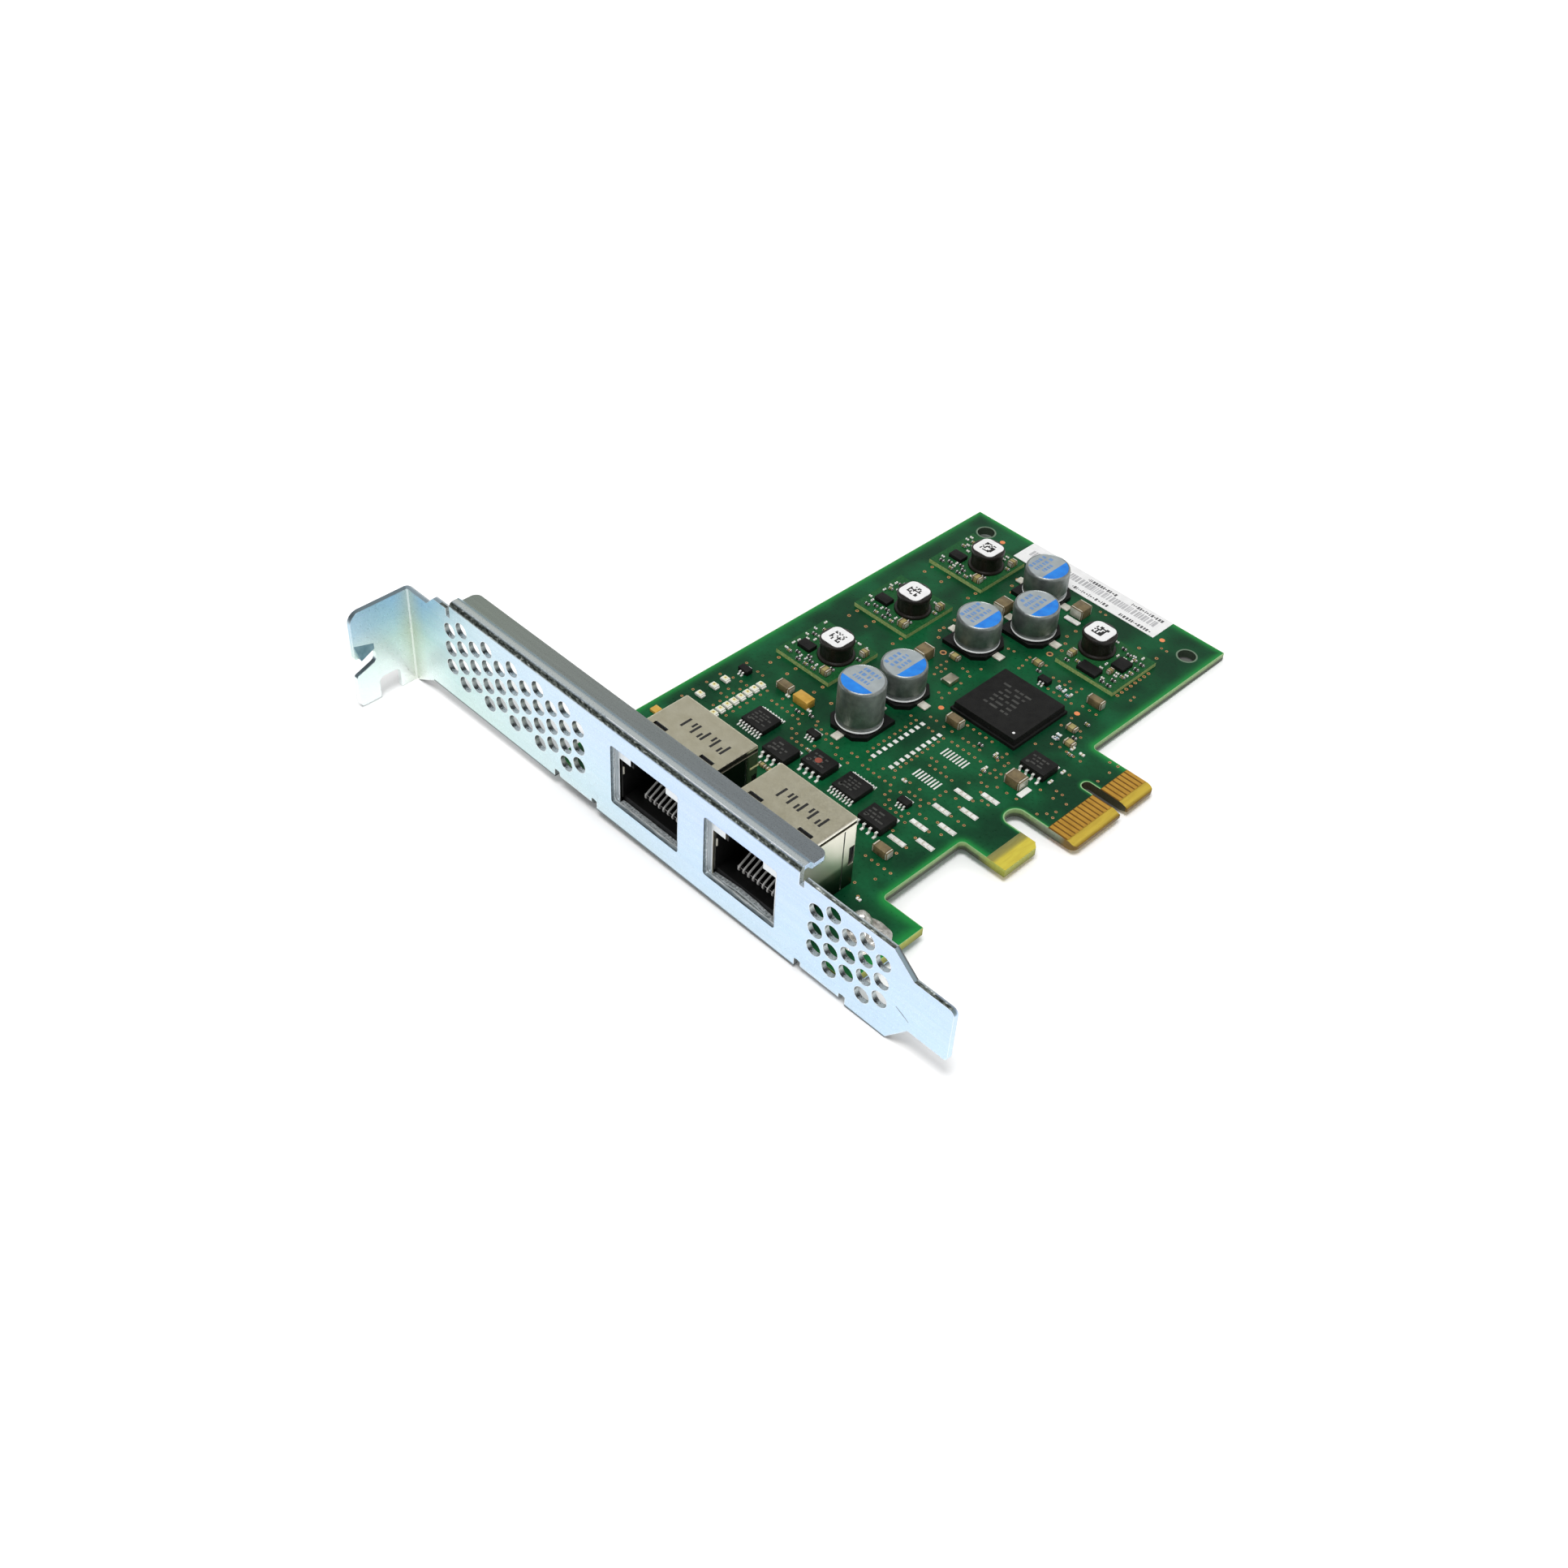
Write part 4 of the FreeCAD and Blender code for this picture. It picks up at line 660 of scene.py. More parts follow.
def circle(u, y, radius, steps=24, start=0.0, sweep=FULL_TURN):
    """Points on a circle, or on an arc when the sweep is less than a full turn."""
    count = steps if sweep >= FULL_TURN else steps + 1
    return [(u + radius * math.cos(start + sweep * i / steps),
             y + radius * math.sin(start + sweep * i / steps)) for i in range(count)]


def marks(form, look, middle, size, rows, bottom, turn=0.0, gap=0.35, fill=0.8, scale=1.0):
    """Rows of short plain bars that stand for print, without any letters."""
    pitch = size[1] / rows
    for row in range(rows):
        across = (row + 0.5) * pitch - size[1] / 2
        reach = size[0] * draw.uniform(0.6, 1.0) / 2
        place = -reach
        while place < reach:
            length = draw.uniform(0.5, 1.4) * pitch * scale
            centre = place + length / 2
            if centre + length / 2 > reach:
                break
            form.bar(turned_point(middle, centre, across, turn), (length, pitch * gap * 1.4), bottom,
                     look, turn)
            place += length / fill * draw.uniform(1.0, 1.3)


def drum(form, low, high, lower, upper, look, steps):
    """Round body from insets and heights above its bottom, then insets and depths below its top."""
    radius = (high.x - low.x) / 2
    profile = [(0, low.z)]
    profile += [(radius - inset, low.z + rise, *band) for inset, rise, *band in lower]
    profile += [(radius - inset, high.z - depth, *band) for inset, depth, *band in upper]
    form.turned(*middle_of(low, high), [*profile, (0, profile[-1][1])], look, steps=steps)


def capped(form, low, high, look, inset, drop, rounding, cap_rounding):
    """A small body between two tinned ends along its longer side."""
    size = high - low
    along = 0 if size.x >= size.y else 1
    body_low, body_high, first_high, second_low = low.copy(), high.copy(), high.copy(), low.copy()
    body_low[along] += size[along] * inset
    body_high[along] -= size[along] * inset
    body_high.z -= drop
    first_high[along] = low[along] + size[along] * CAP_SHARE
    second_low[along] = high[along] - size[along] * CAP_SHARE
    form.block(body_low, body_high, rounding, look)
    form.block(low, first_high, cap_rounding, "solder")
    form.block(second_low, high, cap_rounding, "solder")


def make_boxes(name, slot, look, node, rounding):
    """Piece that softens the edges of a node's plain boxes."""
    form = Form(look)
    for low, high in islands(node):
        form.block(low, high, rounding, look)
    form.piece(name, slot, node)


# Stage, camera and light

CAMERA_PLACE = Vector((150.70, -179.36, 205.30)) * MM
CAMERA_AZIMUTH = math.radians(42.886)
CAMERA_ELEVATION = math.radians(43.010)
CAMERA_ROLL = math.radians(3.674)
CAMERA_LENS = 42.556
CAMERA_SENSOR = 36.0
CAMERA_CLIP = (0.01, 20.0)
FLOOR_HEIGHT = 2.36 * MM
FLOOR_SLOPE_X = 0.0252
FLOOR_SLOPE_Y = 0.01875
FLOOR_HALF = 3.0
# Linear colours of the open paper, and of the painted shadow on what little is seen of it under the
# board
PAPER_DARK, PAPER_LIGHT = (0.93, 0.93, 0.935, 1.0), grey(0.95)
PAPER_SHADOW = (0.08, 0.09, 0.075, 1.0)
SHADOW_EDGE = (0.8 * MM, 2.6 * MM)
# Light of the paper itself: more of it far out, and a lift where nothing stands near
GLOW_RANGE = (0.06, 0.8)
FLOOR_NEAR = 0.014
FLOOR_OPEN = (0.55, 0.95)
FLOOR_LIFT = 0.16
# What polished metal sees of the studio at each height, from the horizon to the zenith
SKY_STOPS = ((0.0, 0.62), (0.3, 0.66), (0.58, 0.68), (0.62, 0.56), (0.66, 0.42), (0.72, 0.24),
             (0.85, 0.16), (1.0, 0.2))
SKY_BLUE = 0.97
SKY_BACK = 0.3
SKY_LIGHT = 0.45
LAMP_PLACE = Vector((0.1, -0.23, 0.9))
LAMP_SIDE = 0.35
LAMP_POWER = 5.5


def make_camera():
    data = bpy.data.cameras.new("photo_camera")
    data.sensor_width = CAMERA_SENSOR
    data.lens = CAMERA_LENS
    data.clip_start, data.clip_end = CAMERA_CLIP
    camera = add_object("photo_camera", data)
    turn = (Matrix.Rotation(CAMERA_AZIMUTH, 4, "Z")
            @ Matrix.Rotation(math.pi / 2 - CAMERA_ELEVATION, 4, "X")
            @ Matrix.Rotation(CAMERA_ROLL, 4, "Z"))
    camera.matrix_world = Matrix.Translation(CAMERA_PLACE) @ turn
    bpy.context.scene.camera = camera


def make_floor():
    """White paper, sloped a little against the card's frame as in the photo."""
    points = []
    for side_x, side_y in CORNERS:
        x, y = side_x * FLOOR_HALF, side_y * FLOOR_HALF
        points.append((x, y, FLOOR_HEIGHT + FLOOR_SLOPE_X * x + FLOOR_SLOPE_Y * y))
    data = bpy.data.meshes.new("floor")
    data.from_pydata(points, [], [(0, 1, 2, 3)])
    look = Look("floor_paper", Roughness=0.9, Specular_IOR_Level=0.1)
    paper = look.ramp(look.noise(40, 2), (0.3, PAPER_DARK), (0.7, PAPER_LIGHT))
    # Painted shadow under the board, fading in from its edges
    board_shadow = (look.share(edge_distance(look), *SHADOW_EDGE)
             * look.share(cut_distance(look, BOARD_NOTCHES[:1]), *SHADOW_EDGE))
    look.set("Base Color", look.mix(board_shadow, paper, PAPER_SHADOW))
    look.set("Emission Color", grey(1.0))
    reach = look.out("ShaderNodeVectorMath", "Value", {"Vector": look.place}, operation="LENGTH")
    glow = look.ramp(look.share(reach, *GLOW_RANGE), (0.0, 0.06), (0.1, 0.1), (1.0, 0.8))
    seen = look.ray("Camera") | look.ray("Glossy") | look.ray("Transmission")
    near = look.out("ShaderNodeAmbientOcclusion", "AO", {"Distance": FLOOR_NEAR}, samples=12)
    look.set("Emission Strength", glow + look.share(near, *FLOOR_OPEN) * seen * FLOOR_LIFT)
    data.materials.append(look.material)
    add_object("floor", data)


def make_world():
    """Even light, white for the camera and a studio with a bright front for polished metal."""
    world = bpy.data.worlds.new("studio")
    bpy.context.scene.world = world
    world.use_nodes = True
    sky = Nodes(world.node_tree)
    direction = sky.out("ShaderNodeTexCoord", "Generated")
    rise = sky.axis(direction, "Z")
    tone = sky.ramp(rise, *((height, (shade, shade, shade * SKY_BLUE, 1.0))
                            for height, shade in SKY_STOPS))
    inputs = {"Value": sky.axis(direction, "Y"), "From Min": -0.1, "From Max": 0.35, "To Min": SKY_BACK}
    front = sky.out("ShaderNodeMapRange", "Result", inputs)
    dimmed = sky.out("ShaderNodeVectorMath", "Vector", {0: tone, "Scale": front}, operation="SCALE")
    studio = sky.out("ShaderNodeVectorMath", "Vector", {0: dimmed, 1: sky.share(rise, 0.86, 0.97)},
                     operation="MAXIMUM")
    light = sky.mix(sky.ray("Glossy"), grey(SKY_LIGHT), studio)
    background = sky.nodes["Background"]
    sky.join(background.inputs["Color"], sky.mix(sky.ray("Camera"), light, grey(1.0)))
    sky.join(background.inputs["Strength"], 1.0)


def make_lamp():
    """One large soft lamp above the card, aimed at the middle of the frame."""
    data = bpy.data.lights.new("overhead_box", "AREA")
    data.shape = "RECTANGLE"
    data.size = data.size_y = LAMP_SIDE
    data.energy = LAMP_POWER
    lamp = add_object("overhead_box", data)
    lamp.matrix_world = (Matrix.Translation(LAMP_PLACE)
                         @ (-LAMP_PLACE).to_track_quat("-Z", "Y").to_matrix().to_4x4())


make_camera()
make_floor()
make_world()
make_lamp()
bpy.context.scene.view_settings.view_transform = "Standard"

# Looks of the CAD nodes that stay
NODE_LOOKS = {
    "bracket_zinc": ["bracket"],
    "board_green": ["circuit_board"],
    "contact_gold": ["edge_contacts_top", "edge_contacts_bottom"],
    "jack_tin": [f"jack_shield_{number}" for number in SOCKETS],
    "black_plastic": [f"jack_insert_{number}" for number in SOCKETS]
                     + [f"capacitor_base_{number}" for number in CANS],
    "module_green": [f"regulator_board_{number}" for number in REGULATORS],
    "chip_black": ["main_chip"],
    "solder": ["jack_solder_joints", "driver_leads", "eight_lead_chip_leads", "small_chip_leads"],
    "label_white": ["board_label", "coil_labels"],
}
for look, nodes in NODE_LOOKS.items():
    for node in nodes:
        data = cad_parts[node].data
        data.materials.clear()
        data.materials.append(LOOKS[look].material)

# Sockets: spring wires, comb, side teeth and strokes stamped on the shields

WIRES = 8
WIRE_PITCH = 1.02
WIRE = 0.26
STROKES = 5
STROKE_PITCH = 2.15
STROKE_Y = 11.45
TOOTH_Y = 1.25


def make_contacts(number):
    """Hairpin wires that rise from the socket floor behind a black comb."""
    node = f"jack_contacts_{number}"
    low, high = span(node)
    middle, near, floor = (low.x + high.x) / 2, low.y, low.z
    form = Form("contact_wire", "black_plastic")
    path = [(near + 0.6, floor + 0.02), (near, floor + 0.22), (near - 0.05, floor + 0.7),
            (near + 0.3, floor + 1.0), (high.y, high.z - 0.2)]
    for k in range(WIRES):
        u = middle + (k - (WIRES - 1) / 2) * WIRE_PITCH - WIRE / 2
        for (y0, z0), (y1, z1) in zip(path, path[1:]):
            reach = math.hypot(y1 - y0, z1 - z0)
            side_y, side_z = (z0 - z1) / reach * WIRE / 2, (y1 - y0) / reach * WIRE / 2
            form.prism([(u, y0 - side_y, z0 - side_z), (u, y1 - side_y, z1 - side_z),
                        (u, y1 + side_y, z1 + side_z), (u, y0 + side_y, z0 + side_z)],
                       (WIRE, 0, 0), "contact_wire")
    reach = WIRES * WIRE_PITCH / 2
    form.block((middle - reach, near + 0.16, floor), (middle + reach, near + 0.6, floor + 0.62), 0.05,
               "black_plastic")
    form.piece(f"contact_wires_{number}", "contact_gold", node)


def make_socket_trim(number):
    """Spring tooth at the opening's side, strokes on the shield and the lens of the first socket."""
    low, high = span(f"jack_shield_{number}")
    middle = (low.x + high.x) / 2
    form = Form("end_tin", "print_black", "led_lens")
    edge = middle - 6.5
    form.prism([(edge - 0.3, TOOTH_Y, 6.9), (edge + 0.55, TOOTH_Y, 7.1), (edge + 0.55, TOOTH_Y, 8.5),
                (edge - 0.3, TOOTH_Y, 8.7)], (0, 0.2, 0), "end_tin")
    for k in range(STROKES):
        u = middle - 3.2 + k * STROKE_PITCH
        form.bar((u, STROKE_Y), (0.44, 2.3), high.z, "print_black")
        if k:
            shift = 0.5 if k % 2 else -0.5
            form.bar((u - 0.75, STROKE_Y + shift), (0.4, 1.2), high.z, "print_black")
    if number == SOCKETS[0]:
        form.prism([(high.x, 14.3, 9.5), (high.x, 16.1, 9.5), (high.x, 16.1, 9.85),
                    (high.x, 14.3, 9.85)], (0.03, 0, 0), "led_lens")
    form.piece(f"socket_trim_{number}", "jack_tin")


for number in SOCKETS:
    make_contacts(number)
    make_socket_trim(number)

# Rivets: hammered, uneven heads on plain shanks

FOOT_TOP = -2.24
RIVET_RINGS = 20
RIVET_STEPS = 64
RIVET_LEAN = (-2.1, 0.7)
RIVET_DOME = 2.4
RIVET_DOME_RADIUS = 1.9
RIVET_SKIRT = 0.4
RIVET_LUMP = 0.3
RIVET_LIP = 0.03
RIVET_SHANK, RIVET_COLLAR = 1.5, 2.3


def rivet_point(u, y, radius, share, angle):
    """Point of a rivet's head at a share of its radius and an angle: a skirt with a leaning dome."""
    wave = (0.10 * math.sin(3 * angle + 0.7) + 0.07 * math.sin(5 * angle + 2.1)
            + 0.05 * math.sin(9 * angle + 5 * share))
    reach = radius * share * (0.93 + 0.4 * wave)
    place_u, place_y = u + reach * math.cos(angle), y + reach * math.sin(angle)
    away = math.hypot(place_u - u - RIVET_LEAN[0], place_y - y - RIVET_LEAN[1]) / RIVET_DOME_RADIUS
    dome = RIVET_DOME * max(0.0, 1 - away * away) ** 0.45
    skirt = RIVET_SKIRT * (1 - share ** 6) + RIVET_LIP
    lump = RIVET_LUMP * math.sin(2.9 * place_u + 1.3) * math.sin(3.7 * place_y + 0.4) * (1 - share)
    rise = skirt + dome + lump if share < 0.98 else RIVET_LIP
    return place_u, place_y, max(rise, RIVET_LIP)


def make_rivets():
    form = Form("rivet_grey")
    for low, high in islands("bracket_rivets"):
        u, y = middle_of(low, high)
        radius = (high.x - low.x) / 2
        rings = []
        for ring in range(1, RIVET_RINGS + 1):
            share = ring / RIVET_RINGS
            rings.append([form.vertex(*rivet_point(u, y, radius, share, FULL_TURN * step / RIVET_STEPS))
                          for step in range(RIVET_STEPS)])
        top = sum(on_card(vertex.co).z for vertex in rings[0]) / RIVET_STEPS
        rings = [[form.vertex(u, y, top)], *rings, [form.vertex(u, y, SUNK)]]
        form.loft(rings, ["rivet_grey"] * len(rings))
        form.turned(u, y, [(0, low.z), (RIVET_SHANK, low.z), (RIVET_SHANK, FOOT_TOP),
                           (RIVET_COLLAR, FOOT_TOP), (RIVET_COLLAR, BOARD_BOTTOM),
                           (RIVET_SHANK, BOARD_BOTTOM), (RIVET_SHANK, -0.02), (0, -0.02)],
                    "rivet_grey", steps=40)
    form.piece("rivet_heads", "solder", "bracket_rivets", smooth=60)


make_rivets()

# Electrolytic cans

CAN_CHORD = 1.3
CAN_RIM = 0.42
CAN_SINK = 0.06
CAN_MARKS_BACK = 1.05
CAN_MARKS_SIZE = (5.2, 3.7)
# The white band low on the can is a painted glint
CAN_LOWER = ((0.3, 0), (0.08, 0.08), (0, 0.2, "can_foot_glint"), (0, 0.36, "can_foot_glint"), (0.08, 0.48),
             (0.33, 0.86), (0.35, 1.0), (0.06, 1.28), (0, 1.45))
CAN_UPPER = ((0, 0.55), (0.05, 0.3), (0.15, 0.12), (0.28, 0.02), (0.34, 0),
             (CAN_RIM, CAN_SINK, "can_top"))


def make_can(number, facing):
    """Drawn can with rolled groove, rim and blue printed segment towards the facing angle."""
    node = f"capacitor_can_{number}"
    low, high = span(node)
    u, y = middle_of(low, high)
    disc, sunk = (high.x - low.x) / 2 - CAN_RIM, high.z - CAN_SINK
    form = Form("can_grey", "print_blue", "print_faint_blue", "can_top", "can_foot_glint")
    drum(form, low, high, CAN_LOWER, CAN_UPPER, "can_grey", 96)
    half = math.acos(CAN_CHORD / disc)
    form.plate(circle(u, y, disc, 40, facing - half, 2 * half), sunk, sunk + PRINT, "print_blue")
    behind = (u - CAN_MARKS_BACK * math.cos(facing), y - CAN_MARKS_BACK * math.sin(facing))
    marks(form, "print_faint_blue", behind, CAN_MARKS_SIZE, 3, sunk, facing + math.pi / 2, 0.42, 0.7,
          0.42)
    form.piece(f"can_{number}", "can_grey", node)


for number in CANS:
    make_can(number, -math.pi / 2 if number == 1 else 0.0)

# Regulator coils with their labels

COIL_LOWER = ((0.1, 0), (0, 0.1), (0, 0.35), (0.08, 0.47), (0.45, 0.55), (0.5, 0.8))
COIL_UPPER = ((0.42, 0.9), (0.25, 0.75), (0.22, 0.4), (0.35, 0.12), (0.7, 0))
CELL = 0.3
CELLS = 8


def make_coil(number):
    """Drum with a wider foot and a softened top."""
    node = f"regulator_coil_{number}"
    form = Form("coil_black")
    drum(form, *span(node), COIL_LOWER, COIL_UPPER, "coil_black", 72)
    form.piece(f"coil_{number}", "coil_black", node)


def make_coil_labels():
    """Square field of plain cells on each coil's label."""
    form = Form("print_black")
    for low, high in islands("coil_labels"):
        u, y = middle_of(low, high)
        for row in range(CELLS):
            for column in range(CELLS):
                if draw.random() < 0.5:
                    middle = (u + (row - CELLS / 2 + 0.5) * CELL, y + (column - CELLS / 2 + 0.5) * CELL)
                    form.bar(middle, (CELL, CELL), high.z, "print_black")
    form.piece("coil_label_cells", "label_white")


for number in REGULATORS:
    make_coil(number)
make_coil_labels()

# Chips


def make_chip(node, rows):
    """Moulded body with softened edges, rows of faint bars and a round mark at one corner."""
    low, high = span(node)
    form = Form("chip_black", "chip_mark")
    form.block(low, high, 0.12, "chip_black")
    size, middle = high - low, (low + high) / 2
    marks(form, "chip_mark", (middle.x, middle.y), (size.x * 0.78, size.y * 0.78 * 0.8), rows, high.z,
          gap=0.32)
    spot = min(size.x, size.y) * 0.14
    form.dot(low.x + spot * 1.6, low.y + spot * 1.6, spot * 0.6, high.z, "chip_mark")
    form.piece(node + "_body", "chip_black", node)


def make_main_chip_marks():
    low, high = span("main_chip")
    u, y = middle_of(low, high)
    form = Form("chip_mark", "label_white")
    marks(form, "chip_mark", (u - 0.6, y + 0.4), (7.5, 7.0), 6, high.z, gap=0.3)
    form.dot(high.x - 1.7, low.y + 1.7, 0.24, high.z, "label_white")
    form.piece("main_chip_marks", "chip_black")


def make_red_dot():
    low, high = span("eight_lead_chip_2")
    u, y = middle_of(low, high)
    form = Form("red_dot")
    form.dot(u - 0.2, y - 0.1, 0.62, high.z, "red_dot", 2 * PRINT)
    form.piece("chip_red_dot", "chip_black")


for number in (1, 2):
    make_chip(f"driver_chip_{number}", 4)
for number in range(1, 5):
    make_chip(f"eight_lead_chip_{number}", 3)
make_main_chip_marks()
make_red_dot()
make_boxes("regulator_chip_bodies", "chip_black", "chip_black", "regulator_chips", 0.1)

# Lamps, ceramics and very small parts

LAMP_CAP = 0.28
LONG_CERAMIC = 1.9
BLUE_PARTS = ((42.9, 74.4), (45.0, 73.9), (50.5, 64.2))
BLUE_NEAR = 1.2


def make_lamps():
    """White bodies between tinned ends, with a pale lens and its darker core."""
    form = Form("led_white", "led_lens", "led_core", "solder")
    for low, high in islands("indicator_leds"):
        middle = middle_of(low, high)
        body_top = high.z - 0.1
        form.block((low.x + LAMP_CAP * 0.6, low.y, low.z + 0.02),
                   (high.x - LAMP_CAP * 0.6, high.y, body_top), 0.12, "led_white")
        for start, end in ((low.x, low.x + LAMP_CAP), (high.x - LAMP_CAP, high.x)):
            form.block((start, low.y + 0.06, low.z), (end, high.y - 0.06, body_top * 0.6), 0.08,
                       "solder")
        form.pad(middle, 0.46, 0.44, high.z, 0.16, "led_lens", body_top - 0.1)
        form.disc(*middle, 0.2, high.z - 0.02, high.z + 0.01, "led_core", 16)
    form.piece("lamp_bodies", "led_white", "indicator_leds")


def make_ceramics():
    """Sintered bodies between tinned ends."""
    form = Form("ceramic_brown", "ceramic_olive", "end_tin")
    for low, high in islands("ceramic_bodies"):
        long = max(high.x - low.x, high.y - low.y)
        form.block(low, high, 0.09, "ceramic_brown" if long > LONG_CERAMIC else "ceramic_olive")
    for low, high in islands("ceramic_ends"):
        form.block(low, high, 0.14, "end_tin")
    form.piece("ceramic_capacitors", "ceramic_brown", "ceramic_bodies", "ceramic_ends")


def make_tiny_parts():
    """Dark, olive or blue bodies between tinned ends, in the boxes of the CAD node."""
    form = Form("tiny_part", "solder", "ceramic_olive", "tiny_blue")
    for low, high in islands("tiny_parts"):
        look = "tiny_part" if draw.random() < 0.6 else "ceramic_olive"
        if any(math.hypot(low.x - u, low.y - y) < BLUE_NEAR for u, y in BLUE_PARTS):
            look = "tiny_blue"
        capped(form, low, high, look, CAP_SHARE * 0.9, 0.03, 0.05, 0.09)
    form.piece("tiny_part_bodies", "tiny_part", "tiny_parts")


make_lamps()
make_ceramics()
make_tiny_parts()

# Very small parts that only the look needs: u, y and the length along u and along y
EXTRA_PARTS = (
    (56.9, 58.8, 0.5, 1.0), (57.0, 55.5, 0.5, 1.0), (46.9, 53.9, 0.5, 1.0), (47.9, 50.1, 0.5, 1.0),
    (56.3, 64.4, 1.0, 0.5), (54.4, 64.4, 0.5, 1.0), (41.2, 38.2, 1.0, 0.5), (45.65, 74.6, 0.5, 1.0),
    (14.2, 38.9, 0.9, 0.5), (19.2, 38.9, 0.9, 0.5), (28.5, 61.5, 0.5, 0.5), (30.3, 61.5, 0.5, 0.5),
    (54.2, 14.1, 0.9, 0.5),
)
EXTRA_BLUE_PARTS = ((42.9, 74.8, 0.5, 1.0), (44.2, 74.8, 0.5, 1.0), (50.7, 65.4, 1.0, 0.5),
                    (50.7, 64.2, 1.0, 0.5))
TINY_HEIGHT = 0.35
# Seeded parts on the regulators, where they don't come too near to another
MODULE_PARTS = 110
MODULE_CLEARANCE = 0.4
MODULE_MARGIN = 0.7
MODULE_PART_SIZE = (0.36, 0.7)


def tiny_part(form, u, y, size_u, size_y, bottom, look):
    half = Vector((size_u / 2, size_y / 2, TINY_HEIGHT / 2))
    middle = Vector((u, y, bottom + TINY_HEIGHT / 2))
    capped(form, middle - half, middle + half, look, 0.3, 0.04, 0.07, 0.07)


def make_extra_parts():
    form = Form("solder", "tiny_part", "tiny_blue", "ceramic_olive")
    for parts, look in ((EXTRA_PARTS, "ceramic_olive"), (EXTRA_BLUE_PARTS, "tiny_blue")):
        for part in parts:
            tiny_part(form, *part, SUNK, look)
    taken = [box for node in ("tiny_parts", "ceramic_bodies", "ceramic_ends", "regulator_chips")
             for box in islands(node)]
    taken += [span(f"regulator_coil_{number}") for number in REGULATORS]
    reach = MODULE_CLEARANCE
    for number in REGULATORS:
        low, high = span(f"regulator_board_{number}")
        for _ in range(MODULE_PARTS):
            u = draw.uniform(low.x + MODULE_MARGIN, high.x - MODULE_MARGIN)
            y = draw.uniform(low.y + MODULE_MARGIN, high.y - MODULE_MARGIN)
            upright = draw.random() < 0.5
            body = draw.choice(("tiny_part", "ceramic_olive"))
            if all(u + reach < box[0].x or u - reach > box[1].x or y + reach < box[0].y
                   or y - reach > box[1].y for box in taken):
                size = MODULE_PART_SIZE if upright else MODULE_PART_SIZE[::-1]
                tiny_part(form, u, y, *size, high.z + SUNK, body)
                taken.append((Vector((u - reach, y - reach, 0)), Vector((u + reach, y + reach, 0))))
    form.piece("extra_tiny_parts", "tiny_part")


make_extra_parts()
make_boxes("small_chip_bodies", "chip_black", "chip_black", "small_chips", 0.08)
make_boxes("crystal_can", "crystal_metal", "crystal_metal", "crystal", 0.2)
make_boxes("tantalum_body", "tantalum_yellow", "tantalum_yellow", "tantalum_capacitor", 0.12)
make_boxes("amber_body", "tantalum_yellow", "tantalum_yellow", "amber_part", 0.1)
make_boxes("can_terminals", "solder", "end_tin", "capacitor_terminals", 0.12)

# Bare pads, vias and marks of the board

PAD_HEIGHT = 0.09
# Columns of square pads as u, first y, last y; rows of fine pads and columns of long pads
SQUARE_PADS = ((33.85, 38.9, 50.6), (37.58, 39.05, 50.6))
SQUARE_PAD_COUNT = 10
FINE_PADS = ((43.0, 48.35), (43.3, 41.3))
FINE_PAD_COUNT = 8
FINE_PAD_PITCH = 0.65
LONG_PADS = ((49.5, (42.97, 37.79, 32.54, 27.5)), (53.05, (45.37, 40.3, 35.16, 30.11)))
# Solder lumps on a long pad, as place along it and half length
PAD_LUMPS = ((-1.05, 0.5), (0.1, 0.35), (1.1, 0.48))


def make_pads():
    form = Form("solder", "end_tin")
    for u, first, last in SQUARE_PADS:
        for k in range(SQUARE_PAD_COUNT):
            y = first + (last - first) * k / (SQUARE_PAD_COUNT - 1)
            form.pad((u, y), 0.42, 0.36, PAD_HEIGHT * 1.6, 0.09, "solder")
    for row_u, y in FINE_PADS:
        for k in range(FINE_PAD_COUNT):
            u = row_u + (k - (FINE_PAD_COUNT - 1) / 2) * FINE_PAD_PITCH
            form.pad((u, y), 0.15, 1.0, PAD_HEIGHT, 0.05, "solder")
    for u, places in LONG_PADS:
        for y in places:
            form.pad((u, y), 1.65, 0.5, PAD_HEIGHT, 0.05, "end_tin")
            for shift, reach in PAD_LUMPS:
                form.pad((u + shift, y - 0.01), reach, 0.41, 0.26, 0.18, "solder", 0.0, 3)
    form.block((31.3, 90.35, SUNK), (34.5, 91.45, 0.4), 0.35, "solder", 4)
    form.block((55.2, 49.1, SUNK), (56.3, 51.8, 0.25), 0.12, "solder")
    form.piece("bare_pads", "solder")


make_pads()

